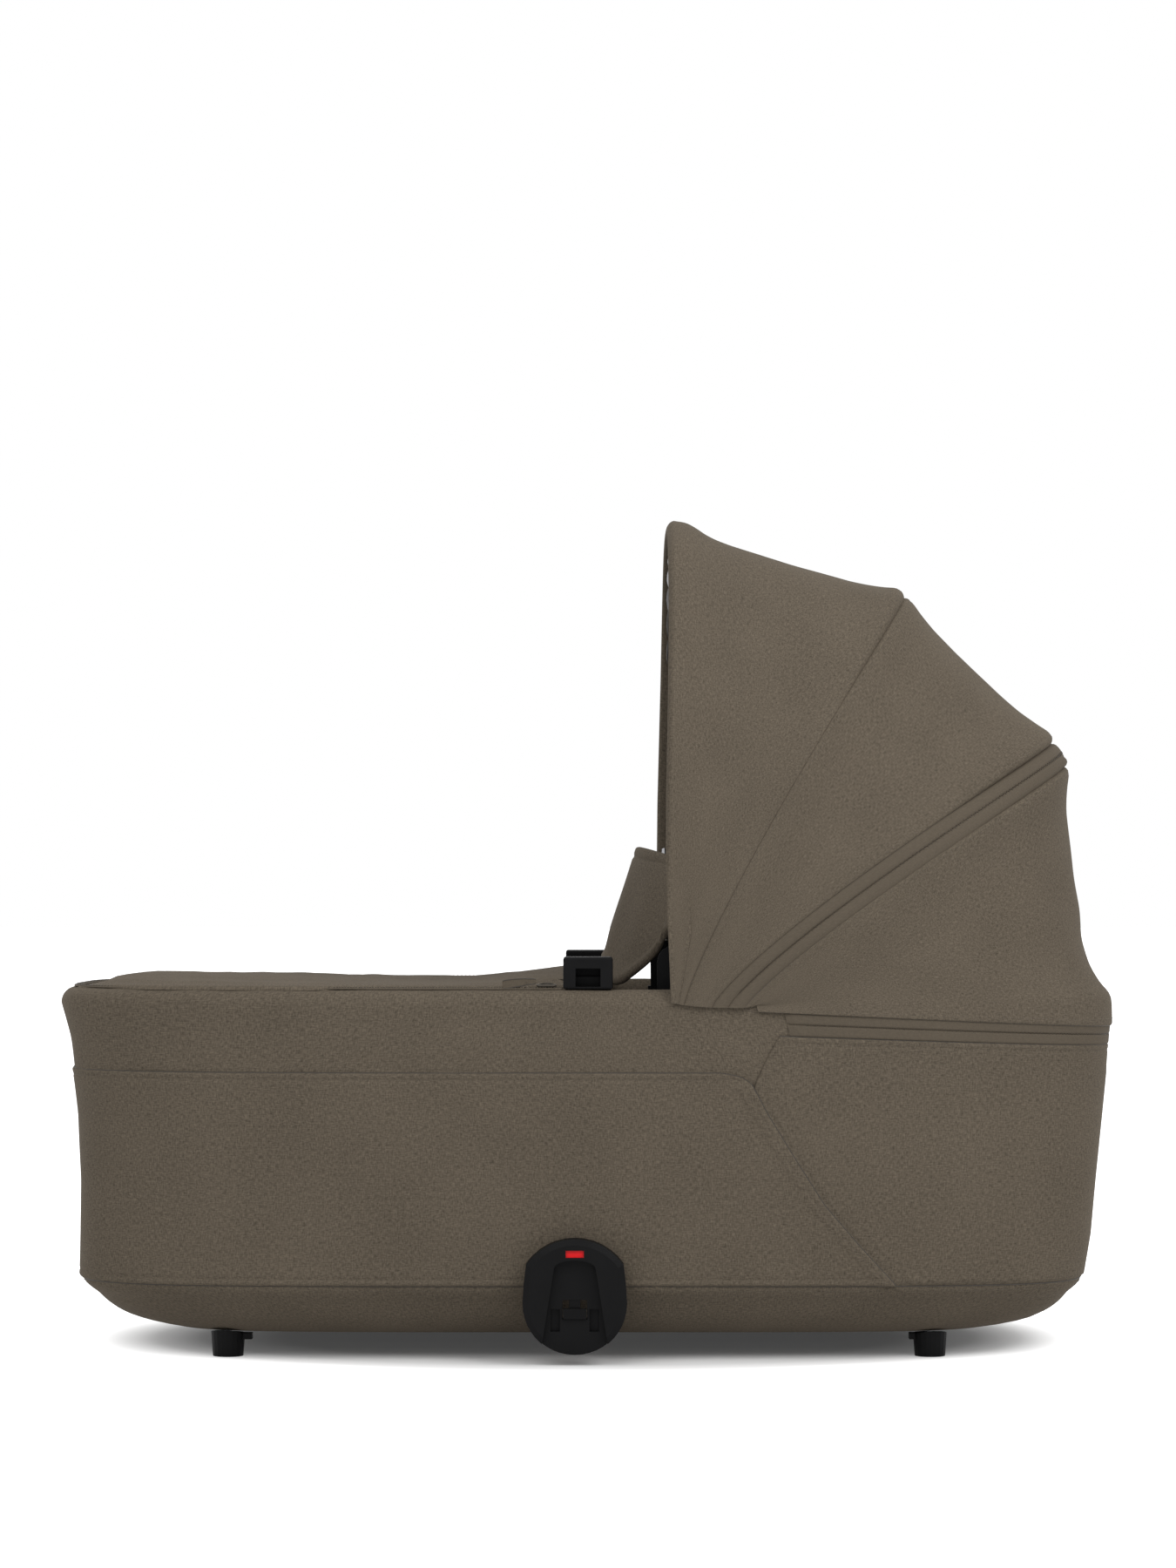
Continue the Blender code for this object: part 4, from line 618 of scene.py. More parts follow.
def lower_panel():
    """The overlay round the foot end: a folded top edge and slanted ends with topstitching."""
    heights, edge_low = folded_rows(SEAM_BOTTOM_Z, SEAM_TOP_Z)
    rows, distances, sides = [], [], []
    body_shares = np.linspace(0, 1, 150)
    for z, near in zip(heights, edge_low):
        end_x = np.interp(z, SLANT[:, 0], SLANT[:, 1])
        ends = turn_at(end_x - EDGE_STEPS[::-1] * SLANT_STRETCH, z)
        fine = even_turns(900, 0.0, ends[0])
        run = length_along(wall(fine, z))
        body = np.interp(body_shares * run[-1], run, fine)
        half = np.concatenate([body[:-1], ends])
        side_distance = np.concatenate([np.full(len(body) - 1, FAR_FROM_EDGE), EDGE_STEPS[::-1]])
        turns = np.concatenate([-half[:0:-1], half])
        side_distance = np.concatenate([side_distance[:0:-1], side_distance])
        rows.append(wall(turns, z))
        sides.append(side_distance)
        distances.append(np.minimum(side_distance, near))
    base = np.stack(rows)
    normal = grid_normals(base)
    distance = np.stack(distances)
    raised = OVERLAP * (1 - smooth((np.stack(sides) - 0.006) / 0.006))
    raised = raised * smooth((0.216 - heights[:, None]) / 0.006)
    lift = edge_lift(distance, 0.0021) + raised + 0.00030 * noise(base, 0.09, 5) * smooth(distance / 0.03)
    outer = base + normal * lift[..., None]
    piece = Piece("lower_panel_cloth")
    piece.sheet(outer, base + normal * BACK_STAND, row_places(outer))
    stitch_row = int(np.argmin(np.abs(heights - (SEAM_TOP_Z - STITCH_INSET))))
    first, last = EDGE_STITCH, outer.shape[1] - 1 - EDGE_STITCH
    piece.stitches(outer[stitch_row, first:last], normal[stitch_row, first:last])
    for column in (first, last):
        piece.stitches(outer[:stitch_row, column], normal[:stitch_row, column])
    # A dark cord round the panel's slanted ends and top edge: painted shade under the folded edge
    seam = base + normal * (raised + 0.0004)[..., None]
    piece.rope(np.concatenate([seam[:, 0], seam[-1, 1:], seam[-2::-1, -1]]), 0.00055, slot=2)
    panel = piece.build([CLOTH, THREAD, SEAM_SHADOW], "cot", ["lower_panel"])


POCKET_START_X = 0.14
# The pocket's height at its side, by which its rows near the top are spaced
POCKET_HEIGHT = 0.185


def head_pocket():
    """The panel round the head end, from the zip band down; its edge passes under the lower panel's slant."""
    top_shares = 1 - EDGE_STEPS[::-1] / POCKET_HEIGHT
    shares = np.concatenate([np.linspace(0, 0.12, 10), np.linspace(0.12, 0.93, 30)[1:], top_shares])
    rows, distances = [], []
    base_turns = even_turns(150, turn_at(0.19, SEAM_BOTTOM_Z), math.pi)
    part = (base_turns - base_turns[0]) / (base_turns[-1] - base_turns[0])
    for share in shares:
        guess = SEAM_BOTTOM_Z + share * (band_line(POCKET_TOP, POCKET_START_X) - SEAM_BOTTOM_Z)
        start_x = np.interp(guess, POCKET_EDGE[:, 0], POCKET_EDGE[:, 1])
        starts = turn_at(start_x + EDGE_STEPS * SLANT_STRETCH, guess)
        half = np.concatenate([starts, (starts[-1] + part * (math.pi - starts[-1]))[1:]])
        turns = np.concatenate([half, 2 * math.pi - half[-2::-1]])
        x = wall(turns, 0.245)[:, 0]
        z = SEAM_BOTTOM_Z + share * (band_line(POCKET_TOP, x) - SEAM_BOTTOM_Z)
        side = np.concatenate([EDGE_STEPS, np.full(len(base_turns) - 1, FAR_FROM_EDGE)])
        side = np.concatenate([side, side[-2::-1]])
        top_distance = (1 - share) * POCKET_HEIGHT
        rows.append(wall(turns, z))
        distances.append(np.minimum(side, top_distance if top_distance < 0.02 else FAR_FROM_EDGE))
    base = np.stack(rows)
    normal = grid_normals(base)
    distance = np.stack(distances)
    height = base[..., 2]
    tuck = 1 - smooth((0.0009 + SEAM_BOTTOM_Z - height) / 0.0012)
    soft = 0.00035 * noise(base, 0.10, 6) * smooth(distance / 0.03)
    lift = edge_lift(distance, 0.0015) * np.clip(tuck, 0.3, 1) + soft
    lift = 0.0003 + (lift - 0.0003) * rounded(height - SEAM_BOTTOM_Z, 0.003)
    outer = base + normal * lift[..., None]
    piece = Piece("head_pocket_cloth")
    piece.sheet(outer, base + normal * BACK_STAND, row_places(outer))
    top_row = len(shares) - 1 - EDGE_STITCH
    low_row = int(np.argmin(np.abs(SEAM_BOTTOM_Z + shares * 0.188 - 0.2100)))
    piece.stitch_rows(outer, normal, (top_row,), EDGE_STITCH)
    for column in (EDGE_STITCH, outer.shape[1] - 1 - EDGE_STITCH):
        piece.stitches(outer[low_row:top_row, column], normal[low_row:top_row, column])
    # A dark cord along the pocket's top edge, where it meets the zip band: painted shade
    piece.rope(base[-1] + normal[-1] * 0.0004, SEAM_SHADOW_RADIUS, slot=2)
    pocket = piece.build([CLOTH, THREAD, SEAM_SHADOW], "cot", ["head_pocket"])


def head_zip():
    """The zip band round the head end: two tapes, the closed coil between them, and its stitching."""
    columns = 240
    start = turn_at(BAND_START_X, RIM_AXIS_Z)
    turns = even_turns(columns, start, 2 * math.pi - start)
    shares = np.array([0, 0.02, 0.06, 0.12, 0.22, 0.32, 0.40, 0.45, 0.475, 0.50,
                       0.525, 0.55, 0.60, 0.68, 0.78, 0.88, 0.94, 0.98, 1.0])
    coil_row = 9
    x = wall(turns, RIM_AXIS_Z)[:, 0]
    low, high = band_line(BAND_LOW, x), band_line(BAND_HIGH, x)
    base = np.stack([wall(turns, low + share * (high - low)) for share in shares])
    normal = grid_normals(base)
    share = shares[:, None]
    length_end = np.minimum(np.arange(columns), np.arange(columns)[::-1])[None, :] / 2.0
    rise = 0.0013 * rounded(np.minimum(share, 1 - share), 0.08) * smooth(length_end / 1.5 + 0.3)
    lift = 0.0003 + rise - 0.0011 * bump(share, 0.50, 0.035)
    outer = base + normal * lift[..., None]
    piece = Piece("head_zip_band")
    piece.sheet(outer, base + normal * BACK_STAND, run_places(outer))
    line, up = (base[coil_row] + normal[coil_row] * 0.0009)[4:-4], normal[coil_row][4:-4]
    piece.blocks(line, up, 0.0017, (0.0012, 0.0013, 0.0008), slot=2, side_step=0.00035)
    piece.stitch_rows(outer, normal, (6, 12, 15), ends=3, **FINE_STITCH)
    band = piece.build([TAPE, THREAD, TEETH], "cot", ["head_zip"])


def lining_cup():
    """The inner cloth over the tray and the walls, with a bound top edge."""
    turns = even_turns(221)[:-1]
    side_heights = np.linspace(0.030, LINING_TOP_Z - 0.006, 30)
    heights = np.concatenate([[0.0234, 0.0250], side_heights, [LINING_TOP_Z - 0.002]])
    base = np.stack([wall(turns, z - LINING_RAISE, LINING_INSET) + (0, 0, LINING_RAISE) for z in heights])
    z = base[..., 2]
    soft = 0.0011 * noise(base, 0.12, 12) * smooth((z - 0.05) / 0.05) * smooth((0.25 - z) / 0.03)
    base = base - grid_normals(base, closed=True) * (soft - 0.0003)[..., None]
    floor = [base[0] * np.array([share, share, 1.0]) for share in (0.02, 0.35, 0.7, 0.93)]
    surface = np.concatenate([np.stack(floor), base])
    piece = Piece("lining_cloth")
    outside = surface - grid_normals(surface, closed=True) * 0.0011
    both = np.concatenate([surface, outside[::-1]])
    piece.grid(both, run_places(both, closed=True), closed=True, turned=True)
    rim = wall(even_turns(401)[:-1], LINING_TOP_Z - LINING_RAISE, LINING_INSET + 0.0003) + (0, 0, 0.0040)
    piece.rope(rim, 0.0018, closed=True)
    ring = wall(even_turns(700), LINING_TOP_Z - 0.012, LINING_INSET + 0.0008)
    piece.stitches(ring, -facing(ring), pitch=0.0036)
    cup = piece.build([LINING, PALE_THREAD], "cot", ["lining"])


MATTRESS_RAISE = 0.0078
MATTRESS_INSET = LINING_INSET + 0.006
MATTRESS_THICKNESS = 0.0345
MATTRESS_DRAW = 0.0115
MATTRESS_CROWN = 0.0062
TUFT_PITCH = 0.055
# The mattress's side: share of its thickness and how far the cloth is drawn in there, in shares of the draw
MATTRESS_SIDE = [(0.0, 0.50), (0.03, 0.22), (0.09, 0.07), (0.18, 0.0), (0.30, 0.05), (0.42, 0.14),
                 (0.50, 0.16), (0.58, 0.14), (0.70, 0.05), (0.82, 0.0), (0.91, 0.07), (0.97, 0.22),
                 (1.0, 0.46)]


def mattress():
    """The mattress: a crowned pad with drawn-in sides, piped top and bottom, and rows of quilting."""

    def ring(turns, share, inset):
        z = BODY_BOTTOM + MATTRESS_RAISE + share * MATTRESS_THICKNESS
        return wall(turns, z - MATTRESS_RAISE, MATTRESS_INSET + inset) + (0, 0, MATTRESS_RAISE)

    turns = even_turns(201)[:-1]
    rings = [ring(turns, share, draw * MATTRESS_DRAW) for share, draw in MATTRESS_SIDE]
    crown = []
    for share in (0.985, 0.96, 0.93, 0.89, 0.84, 0.78, 0.71, 0.63, 0.54, 0.44, 0.34, 0.24, 0.14, 0.05, 0.005):
        crown.append(rings[-1] * (share, share, 1.0) + (0, 0, MATTRESS_CROWN * (1 - share ** 2.4)))
    crown = np.stack(crown)
    waves = np.abs(np.sin(crown[..., :2] * math.pi / TUFT_PITCH))
    tufts = 0.0016 * (waves[..., 0] * waves[..., 1]) ** 0.5
    crown[..., 2] += (tufts - 0.0012) * smooth((0.97 - np.linspace(0.985, 0, len(crown))[:, None]) / 0.1)
    under = np.stack([rings[0] * (share, share, 1.0) for share in (0.01, 0.5, 0.97)])
    surface = np.concatenate([under, np.stack(rings), crown])
    piece = Piece("mattress_pad")
    piece.grid(surface, run_places(surface, closed=True), closed=True)
    for share in (0.09, 0.91):
        piece.rope(ring(even_turns(401)[:-1], share, 0.035 * MATTRESS_DRAW - 0.0006), 0.0014, closed=True)
    pad = piece.build([MATTRESS], "cot", ["mattress"])


# The canopy

CANOPY_MIDDLE = np.array([0.20, 0.0, 0.25])


def rib_point(rib, turn, depth=0.0):
    """Points on a rib: turn 0 is its near foot, a quarter turn its crest, half a turn its far foot."""
    (base_x, base_z), (top_x, top_z), bend = rib
    turn = np.asarray(turn, float)
    rise = np.clip(np.sin(turn), 0, 1) ** (2 / ARCH_POWER)
    across = np.sign(np.cos(turn)) * np.abs(np.cos(turn)) ** (2 / ARCH_POWER)
    x = base_x + (top_x - base_x) * rise ** bend
    z = base_z + (top_z - base_z) * rise
    return np.stack([x, -across * (CANOPY_HALF_WIDTH - depth), z - depth * rise], axis=-1)


def centre_out(points):
    """Directions away from the canopy's inside, square to its surface."""
    normal = grid_normals(points)
    outward = points - CANOPY_MIDDLE
    flip = np.where((normal * outward).sum(axis=2, keepdims=True) < 0, -1.0, 1.0)
    return normal * flip


CANOPY_TURNS = evenly(lambda turns: rib_point(SECOND_RIB, turns), 0, math.pi, 201)
CANOPY_RISE = np.clip(np.sin(CANOPY_TURNS), 0, 1) ** (2 / ARCH_POWER)
# One at the canopy's crest and zero down its sides
CANOPY_HIGH = smooth((CANOPY_RISE[None, :] - 0.62) / 0.36)
SEAM_STEPS = np.array([0.0, 0.0004, 0.0012, 0.0024, 0.0038, 0.0055, 0.0075, 0.0100, 0.0130])
SEAM_STITCH = 5

# How far each panel's crest stands off the straight line between its ribs, by share of its width, in metres
FRONT_CREST = np.array([
    (0.000, 0.0000), (0.045, 0.0018), (0.070, 0.0014), (0.100, 0.0003), (0.136, -0.0015), (0.182, -0.0027),
    (0.250, -0.0033), (0.410, -0.0033), (0.500, -0.0027), (0.680, -0.0010), (0.770, -0.0002), (0.860, 0.0014),
    (0.910, 0.0028), (0.955, 0.0042), (0.980, 0.0034), (1.000, 0.0000),
])
MIDDLE_CREST = np.array([
    (0.000, 0.0000), (0.020, 0.0006), (0.070, 0.0000), (0.143, -0.0012), (0.220, -0.0024), (0.357, -0.0031),
    (0.500, -0.0026), (0.640, -0.0016), (0.786, 0.0000), (0.857, 0.0016), (0.930, 0.0032), (0.970, 0.0036),
    (0.990, 0.0022), (1.000, 0.0000),
])
REAR_CREST = np.array([
    (0.000, 0.0000), (0.015, 0.0010), (0.032, 0.0014), (0.060, 0.0000), (0.143, -0.0032), (0.206, -0.0050),
    (0.333, -0.0062), (0.500, -0.0064), (0.650, -0.0062), (0.778, -0.0084), (0.905, -0.0060), (1.000, 0.0000),
])


def seam_dip(distance, depth):
    """Cloth beside a seam: it dips into the seam and swells just beyond the topstitching."""
    dip = -depth * (1 - rounded(distance, 0.0045))
    return dip - 0.00035 * bump(distance, 0.0055, 0.0010) + 0.0004 * bump(distance, 0.010, 0.005)


def panel_surface(start, end, shares, crest, side_sag, seams):
    """A cloth stretched between two lines: by the table at its crest, with an even sag at its sides."""
    share = shares[:, None, None]
    flat = start[None] * (1 - share) + end[None] * share
    width = np.linalg.norm(end - start, axis=1)[None, :]
    normal = centre_out(flat)
    share = shares[:, None]
    sag = side_sag * 4 * share * (1 - share) * smooth(width / 0.12) * (1 - 0.6 * CANOPY_HIGH)
    lift = table_at(crest, share) * CANOPY_HIGH - sag
    depth = 0.0015 + 0.0016 * CANOPY_HIGH
    for sewn, distance in zip(seams, (share * width, (1 - share) * width)):
        if sewn:
            lift = lift + seam_dip(distance, depth)
    soft = 0.0011 * noise(flat, 0.13, 21) + 0.00045 * noise(flat, 0.05, 22)
    lift = lift + soft * smooth(share * width / 0.03) * smooth((1 - share) * width / 0.03)
    return flat + normal * lift[..., None], normal


def panel_shares(width, rows):
    """Shares across a panel, closer together beside its seams and where it is topstitched."""
    steps = SEAM_STEPS / width
    return np.concatenate([steps, np.linspace(steps[-1], 1 - steps[-1], rows)[1:-1], 1 - steps[::-1]])


def canopy_seam_shadow(piece, surface, normal, row, slot, weights, depth=CANOPY_SEAM_SHADOW_DEPTH):
    """A dark line of painted shade along the seam at a panel's first or last row."""
    piece.rope(surface[row] - normal[row] * depth, CANOPY_SEAM_SHADOW_RADIUS, slot=slot, weights=weights[row])


# The front edge leans ahead of its rib by these lengths, at these shares of its height
FRONT_EDGE_SHIFT = np.array([
    (0.00, 0.0026), (0.08, 0.0012), (0.17, -0.0008), (0.28, -0.0022), (0.42, -0.0022), (0.70, -0.0006),
    (1.00, 0.0004),
])
HEM_DEPTH = 0.0113
HEM_FRONT = 0.0040
# The turned-in hem below the cloth: distance from the edge and depth
HEM_PROFILE = ((0.0150, 0.0018), (0.0138, 0.0034), (0.0120, 0.0064), (0.0098, 0.0092), (0.0070, 0.0109),
               (0.0040, 0.0112), (0.0012, HEM_DEPTH))
FRONT_CLOTH_THICKNESS = 0.0010


def front_panel():
    """The front panel, its hem rolled round the front bow, with one line of topstitching down its middle."""
    shares = panel_shares(0.18, 50)
    start, end = rib_point(FRONT_RIB, CANOPY_TURNS), rib_point(FIRST_RIB, CANOPY_TURNS)
    start[:, 0] += np.interp(CANOPY_RISE, FRONT_EDGE_SHIFT[:, 0], FRONT_EDGE_SHIFT[:, 1])
    outer, normal = panel_surface(start, end, shares, FRONT_CREST, 0.0040, (False, True))
    edge, out = outer[0], normal[0]
    columns = range(len(edge))
    away = np.linalg.norm(outer - edge, axis=2)
    room = np.minimum(1.0, away[-1] / 0.030)
    # The hem thins out towards the ribs' feet
    deep = (0.15 + 0.85 * smooth((CANOPY_RISE - 0.16) / 0.18))[:, None]
    hem = []
    for step, depth in HEM_PROFILE:
        places = step * room
        line = [at_places(places[column], away[:, column], outer[:, column]) for column in columns]
        hem.append(np.stack(line) - out * depth * deep)
    for angle in np.linspace(0.04, 0.94, 12) * math.pi:
        ahead = np.array([-HEM_FRONT * math.sin(angle), 0.0, 0.0])
        hem.append(edge + ahead - out * deep * HEM_DEPTH / 2 * (1 + math.cos(angle)))
    surface = np.concatenate([np.stack(hem), outer])
    panel_bend = 1 - np.repeat(shares[:, None], len(edge), axis=1)
    bend = np.concatenate([np.ones((len(hem), len(edge))), panel_bend])
    inner = surface + grid_normals(surface) * FRONT_CLOTH_THICKNESS
    piece = Piece("canopy_front_cloth")
    piece.sheet(surface, inner, run_places(surface), weights=bend, turned=True)
    piece.stitch_rows(outer, normal, (len(shares) - 1 - SEAM_STITCH,), weights=panel_bend)
    path, ups, weights = stitch_line(outer, normal, panel_bend)
    piece.stitches(path, ups, pitch=0.0050, length=0.0026, width=0.0004, weights=weights)
    # A dark cord along the seam to the middle panel: painted shade
    canopy_seam_shadow(piece, outer, normal, -1, 2, panel_bend)
    front = piece.build([CLOTH, THREAD, SEAM_SHADOW], ("middle_bow", "front_bow"), ["canopy_front_panel"])


# The faint line of stitches in the front panel: height and place along the cot
STITCH_LINE = np.array([(0.300, 0.1120), (0.380, 0.1080), (0.420, 0.1160), (0.610, 0.1200)])


def stitch_line(outer, normal, bend):
    """The faint upright line of stitches in the front panel, level with the middle of its side."""
    table = np.concatenate([outer, normal, bend[..., None]], axis=2)
    rows = []
    for column in range(14, outer.shape[1] - 14):
        x = np.interp(float(outer[:, column, 2].mean()), STITCH_LINE[:, 0], STITCH_LINE[:, 1])
        row_x = outer[:, column, 0]
        if row_x[0] < x < row_x[-1]:
            rows.append(at_places(x, row_x, table[:, column]))
    rows = np.array(rows)
    return rows[:, :3], rows[:, 3:6], rows[:, 6]


BOW_DEPTH = 0.0078
SLEEVE_RADIUS = 0.0039
SLEEVE_START_RISE = 0.34
INSIDE_CLOTH_THICKNESS = 0.0011


def bow_sleeve(piece, rib):
    """The cloth sleeve round the upper stretch of a bow."""
    line = rib_point(rib, CANOPY_TURNS[CANOPY_RISE > SLEEVE_START_RISE], BOW_DEPTH)
    piece.rope(line, SLEEVE_RADIUS, slot=1, weights=np.ones(len(line)), sides=12)


def middle_panel():
    """The middle panel, topstitched along both seams, with the sleeve of the middle bow."""
    shares = panel_shares(0.165, 46)
    start, end = rib_point(FIRST_RIB, CANOPY_TURNS), rib_point(SECOND_RIB, CANOPY_TURNS)
    outer, normal = panel_surface(start, end, shares, MIDDLE_CREST, 0.0034, (True, True))
    bend = 1 - np.repeat(shares[:, None], outer.shape[1], axis=1)
    piece = Piece("canopy_middle_cloth")
    piece.sheet(outer, outer - normal * INSIDE_CLOTH_THICKNESS, run_places(outer), (0, 1), bend, turned=True)
    piece.stitch_rows(outer, normal, (SEAM_STITCH, len(shares) - 1 - SEAM_STITCH), weights=bend, slot=2)
    # A dark cord along the seam to the zip band: painted shade
    canopy_seam_shadow(piece, outer, normal, -1, 3, bend)
    bow_sleeve(piece, FIRST_RIB)
    materials = [CLOTH, CLOTH_INSIDE, THREAD, SEAM_SHADOW]
    middle = piece.build(materials, ("rear_bow", "middle_bow"), ["canopy_middle_panel"])


# Share of the zip band's width at which its groove lies
GROOVE_SHARE = 0.49
ZIP_BAND_THICKNESS = 0.0030


def zip_panel():
    """The canopy's zip band: two ridges with the closed coil in the groove between them."""
    shares = np.array([0, 0.03, 0.08, 0.15, 0.24, 0.33, 0.39, 0.44, 0.465, GROOVE_SHARE,
                       0.515, 0.54, 0.60, 0.67, 0.76, 0.85, 0.92, 0.97, 1.0])
    coil_row = list(shares).index(GROOVE_SHARE)
    start, end = rib_point(SECOND_RIB, CANOPY_TURNS), rib_point(THIRD_RIB, CANOPY_TURNS)
    middle = rib_point(ZIP_RIB, CANOPY_TURNS)
    share = shares[:, None, None]
    beyond = 1 - GROOVE_SHARE
    base = np.where(share < GROOVE_SHARE, start + (middle - start) * share / GROOVE_SHARE,
                    middle + (end - middle) * (share - GROOVE_SHARE) / beyond)
    normal = centre_out(start[None] * (1 - share) + end[None] * share)
    share = shares[:, None]
    lift = -0.0013
    for ridge in (share / GROOVE_SHARE, (share - GROOVE_SHARE) / beyond):
        lift = lift + 0.0017 * np.maximum(np.sin(np.clip(ridge, 0, 1) * math.pi), 0) ** 0.6
    lift = lift - 0.0016 * CANOPY_HIGH * (bump(share, 0, 0.05) + bump(share, 1, 0.05))
    outer = base + normal * lift[..., None]
    piece = Piece("canopy_zip_cloth")
    piece.sheet(outer, base - normal * ZIP_BAND_THICKNESS, run_places(outer), (0, 1), turned=True)
    line, up = (outer[coil_row] + normal[coil_row] * 0.0005)[3:-3], normal[coil_row][3:-3]
    piece.blocks(line, up, 0.0020, (0.0012, 0.0017, 0.0010), slot=3, side_step=0.0005)
    piece.stitch_rows(outer, normal, (3, 6, 12, 15), slot=2, **FINE_STITCH)
    materials = [TAPE, CLOTH_INSIDE, THREAD, TEETH]
    band = piece.build(materials, "rear_bow", ["canopy_zip_panel"])


REAR_HEM_START_X = 0.1270
REAR_HEM_LIFT = 0.0015
REAR_CLOTH_THICKNESS = 0.0010
# The rear panel below the rim: share of the way down to its edge and how far it stands off the wall
REAR_HEM = ((0.4, 0.0020), (0.7, 0.0027), (0.88, 0.0031), (0.97, 0.0029), (1.0, 0.0021))


def rear_panel():
    """The rear panel runs from the zip band down, over the rim's roll and to the head's zip band."""
    start = rib_point(THIRD_RIB, CANOPY_TURNS)
    rim_start = turn_at(REAR_HEM_START_X, RIM_AXIS_Z)
    turns = even_turns(len(CANOPY_TURNS), rim_start, 2 * math.pi - rim_start)
    x = wall(turns, RIM_AXIS_Z)[:, 0]
    ends = 0.15 + 0.85 * smooth(3 * CANOPY_RISE)

    def lap(angles):
        """Points on the rim's roll, by angles in degrees over its level middle."""
        turned = np.radians(angles) * ends
        roll = RIM_ROLL + REAR_HEM_LIFT
        side = (RIM_ROLL - roll * np.cos(turned))[:, None]
        point = wall(turns, RIM_AXIS_Z) + inward(turns, RIM_AXIS_Z) * side
        point[:, 2] += roll * np.sin(turned)
        return point

    # Where the panel meets the roll: higher at the head than at the sides
    contact = 26 + 40 * smooth((x - 0.30) / 0.10)
    shares = np.concatenate([SEAM_STEPS / 0.18, np.linspace(0.085, 1.0, 44)])
    outer, _ = panel_surface(start, lap(contact), shares, REAR_CREST, 0.0030, (True, False))
    over = [lap(contact * part) for part in (0.75, 0.5, 0.25, 0.0)]
    drop = RIM_AXIS_Z - band_line(REAR_HEM_LINE, x)
    down = []
    for part, lift in REAR_HEM:
        z = RIM_AXIS_Z - part * drop
        down.append(wall(turns, z) - inward(turns, z) * lift)
    surface = np.concatenate([outer, np.stack(over), np.stack(down)])
    for _ in range(2):
        surface[10:-5] = surface[10:-5] * 0.5 + surface[9:-6] * 0.25 + surface[11:-4] * 0.25
    normal = centre_out(surface)
    weights = np.zeros(surface.shape[:2])
    weights[:len(shares)] = 1 - smooth(shares[:, None] * 1.04)
    piece = Piece("canopy_rear_cloth")
    inner = surface - normal * REAR_CLOTH_THICKNESS
    piece.sheet(surface, inner, run_places(surface), (0, 1), weights, turned=True)
    piece.stitch_rows(surface, normal, (SEAM_STITCH, len(surface) - 4), weights=weights, slot=2)
    # Dark cords along the seam to the zip band and under the hem below the rim: painted shade
    canopy_seam_shadow(piece, surface, normal, 0, 3, weights)
    bow_sleeve(piece, ZIP_RIB)
    canopy_seam_shadow(piece, surface, normal, -1, 3, weights, 0.0005)
    rear = piece.build([CLOTH, CLOTH_INSIDE, THREAD, SEAM_SHADOW], ("cot", "rear_bow"), ["canopy_rear_panel"])


# The apron, its zip and the wind flap

APRON_INSET = 0.0085
APRON_OPEN_INSET = 0.0165
APRON_FOOT_DROP = 0.0018
APRON_FOOT_X = -FOOT_REACH + APRON_OPEN_INSET
APRON_END_X = 0.016
APRON_NARROW_HALF = 0.168
APRON_EDGE_TOP = 0.2876
APRON_CENTRE = np.array([-0.20, 0.0])
# Heights along the apron's middle: place along the cot and height
APRON_MIDDLE = np.array([
    (-0.4115, 0.2850), (-0.402, 0.2858), (-0.392, 0.2878), (-0.382, 0.2902), (-0.372, 0.2922),
    (-0.360, 0.2936), (-0.346, 0.2943), (-0.330, 0.2941), (-0.300, 0.2932), (-0.260, 0.2922),
    (-0.214, 0.2911), (-0.185, 0.2903), (-0.150, 0.2895), (-0.100, 0.2894), (-0.084, 0.2903),
    (-0.069, 0.2920), (-0.055, 0.2937), (-0.040, 0.2955), (-0.025, 0.2978), (-0.008, 0.2998),
    (0.005, 0.3010), (0.016, 0.3018),
])
# The apron's edge: distance inwards from it and height above the cot's floor plane
APRON_RISE = ((0.0, 0.2838), (0.0002, 0.2845), (0.0006, 0.2852), (0.0012, 0.2859), (0.0020, 0.2865),
              (0.0030, 0.2870), (0.0042, 0.2873), (0.0056, 0.2875), (0.0072, 0.2877), (0.0090, 0.2878),
              (0.0120, 0.2878), (0.0160, 0.2878), (0.0210, 0.2878))
# Rings of the edge before the crown begins
APRON_FLAT_RINGS = 9
ZIP_INSET = 0.0095
ZIP_WIDTH = 0.0060
ZIP_END_X = -0.0205
# The zip's tape: distance inwards from its edge and height above the rim
ZIP_TAPE = ((0.0, 0.0004), (0.0001, 0.0009), (0.0006, 0.0012), (0.0022, 0.0012), (0.0030, 0.0010),
            (0.0038, 0.0012), (0.0054, 0.0012), (0.0059, 0.0009), (ZIP_WIDTH, 0.0004))
SLIDER_X = -0.0315
SLIDER_HALF_LENGTH = 0.0075
SLIDER_LOW_Z = 0.2863
# Sections of the slider: share of its length, width and height as shares of its largest
SLIDER_SECTIONS = ((0.0, 0.55, 0.5), (0.04, 0.78, 0.8), (0.12, 0.92, 0.96), (0.3, 0.80, 1.0),
                   (0.5, 0.72, 1.0), (0.68, 0.86, 1.0), (0.82, 1.0, 0.96), (0.93, 0.86, 0.8),
                   (1.0, 0.58, 0.5))
PULL_LENGTH = 0.026
PULL_HIGH_Z = 0.0046
PULL_LOW_Z = 0.0022
# Sections of the pull: share of its length, half its thickness and half its height
PULL_SECTIONS = ((0.0, 0.0004, 0.0014), (0.03, 0.0005, 0.0019), (0.10, 0.0006, 0.0023),
                 (0.22, 0.0007, 0.0026), (0.30, 0.0006, 0.0028), (0.34, 0.0008, 0.0030),
                 (0.60, 0.0009, 0.0035), (0.85, 0.0009, 0.0037), (0.95, 0.0008, 0.0035),
                 (0.99, 0.0006, 0.0031), (1.0, 0.0003, 0.0028))
FLAP_HALF_WIDTH = 0.160
FLAP_HEIGHT = 0.094
FLAP_THICKNESS = 0.004
FLAP_HEM = 0.0080
FLAP_BASE = (0.0125, 0.3030)
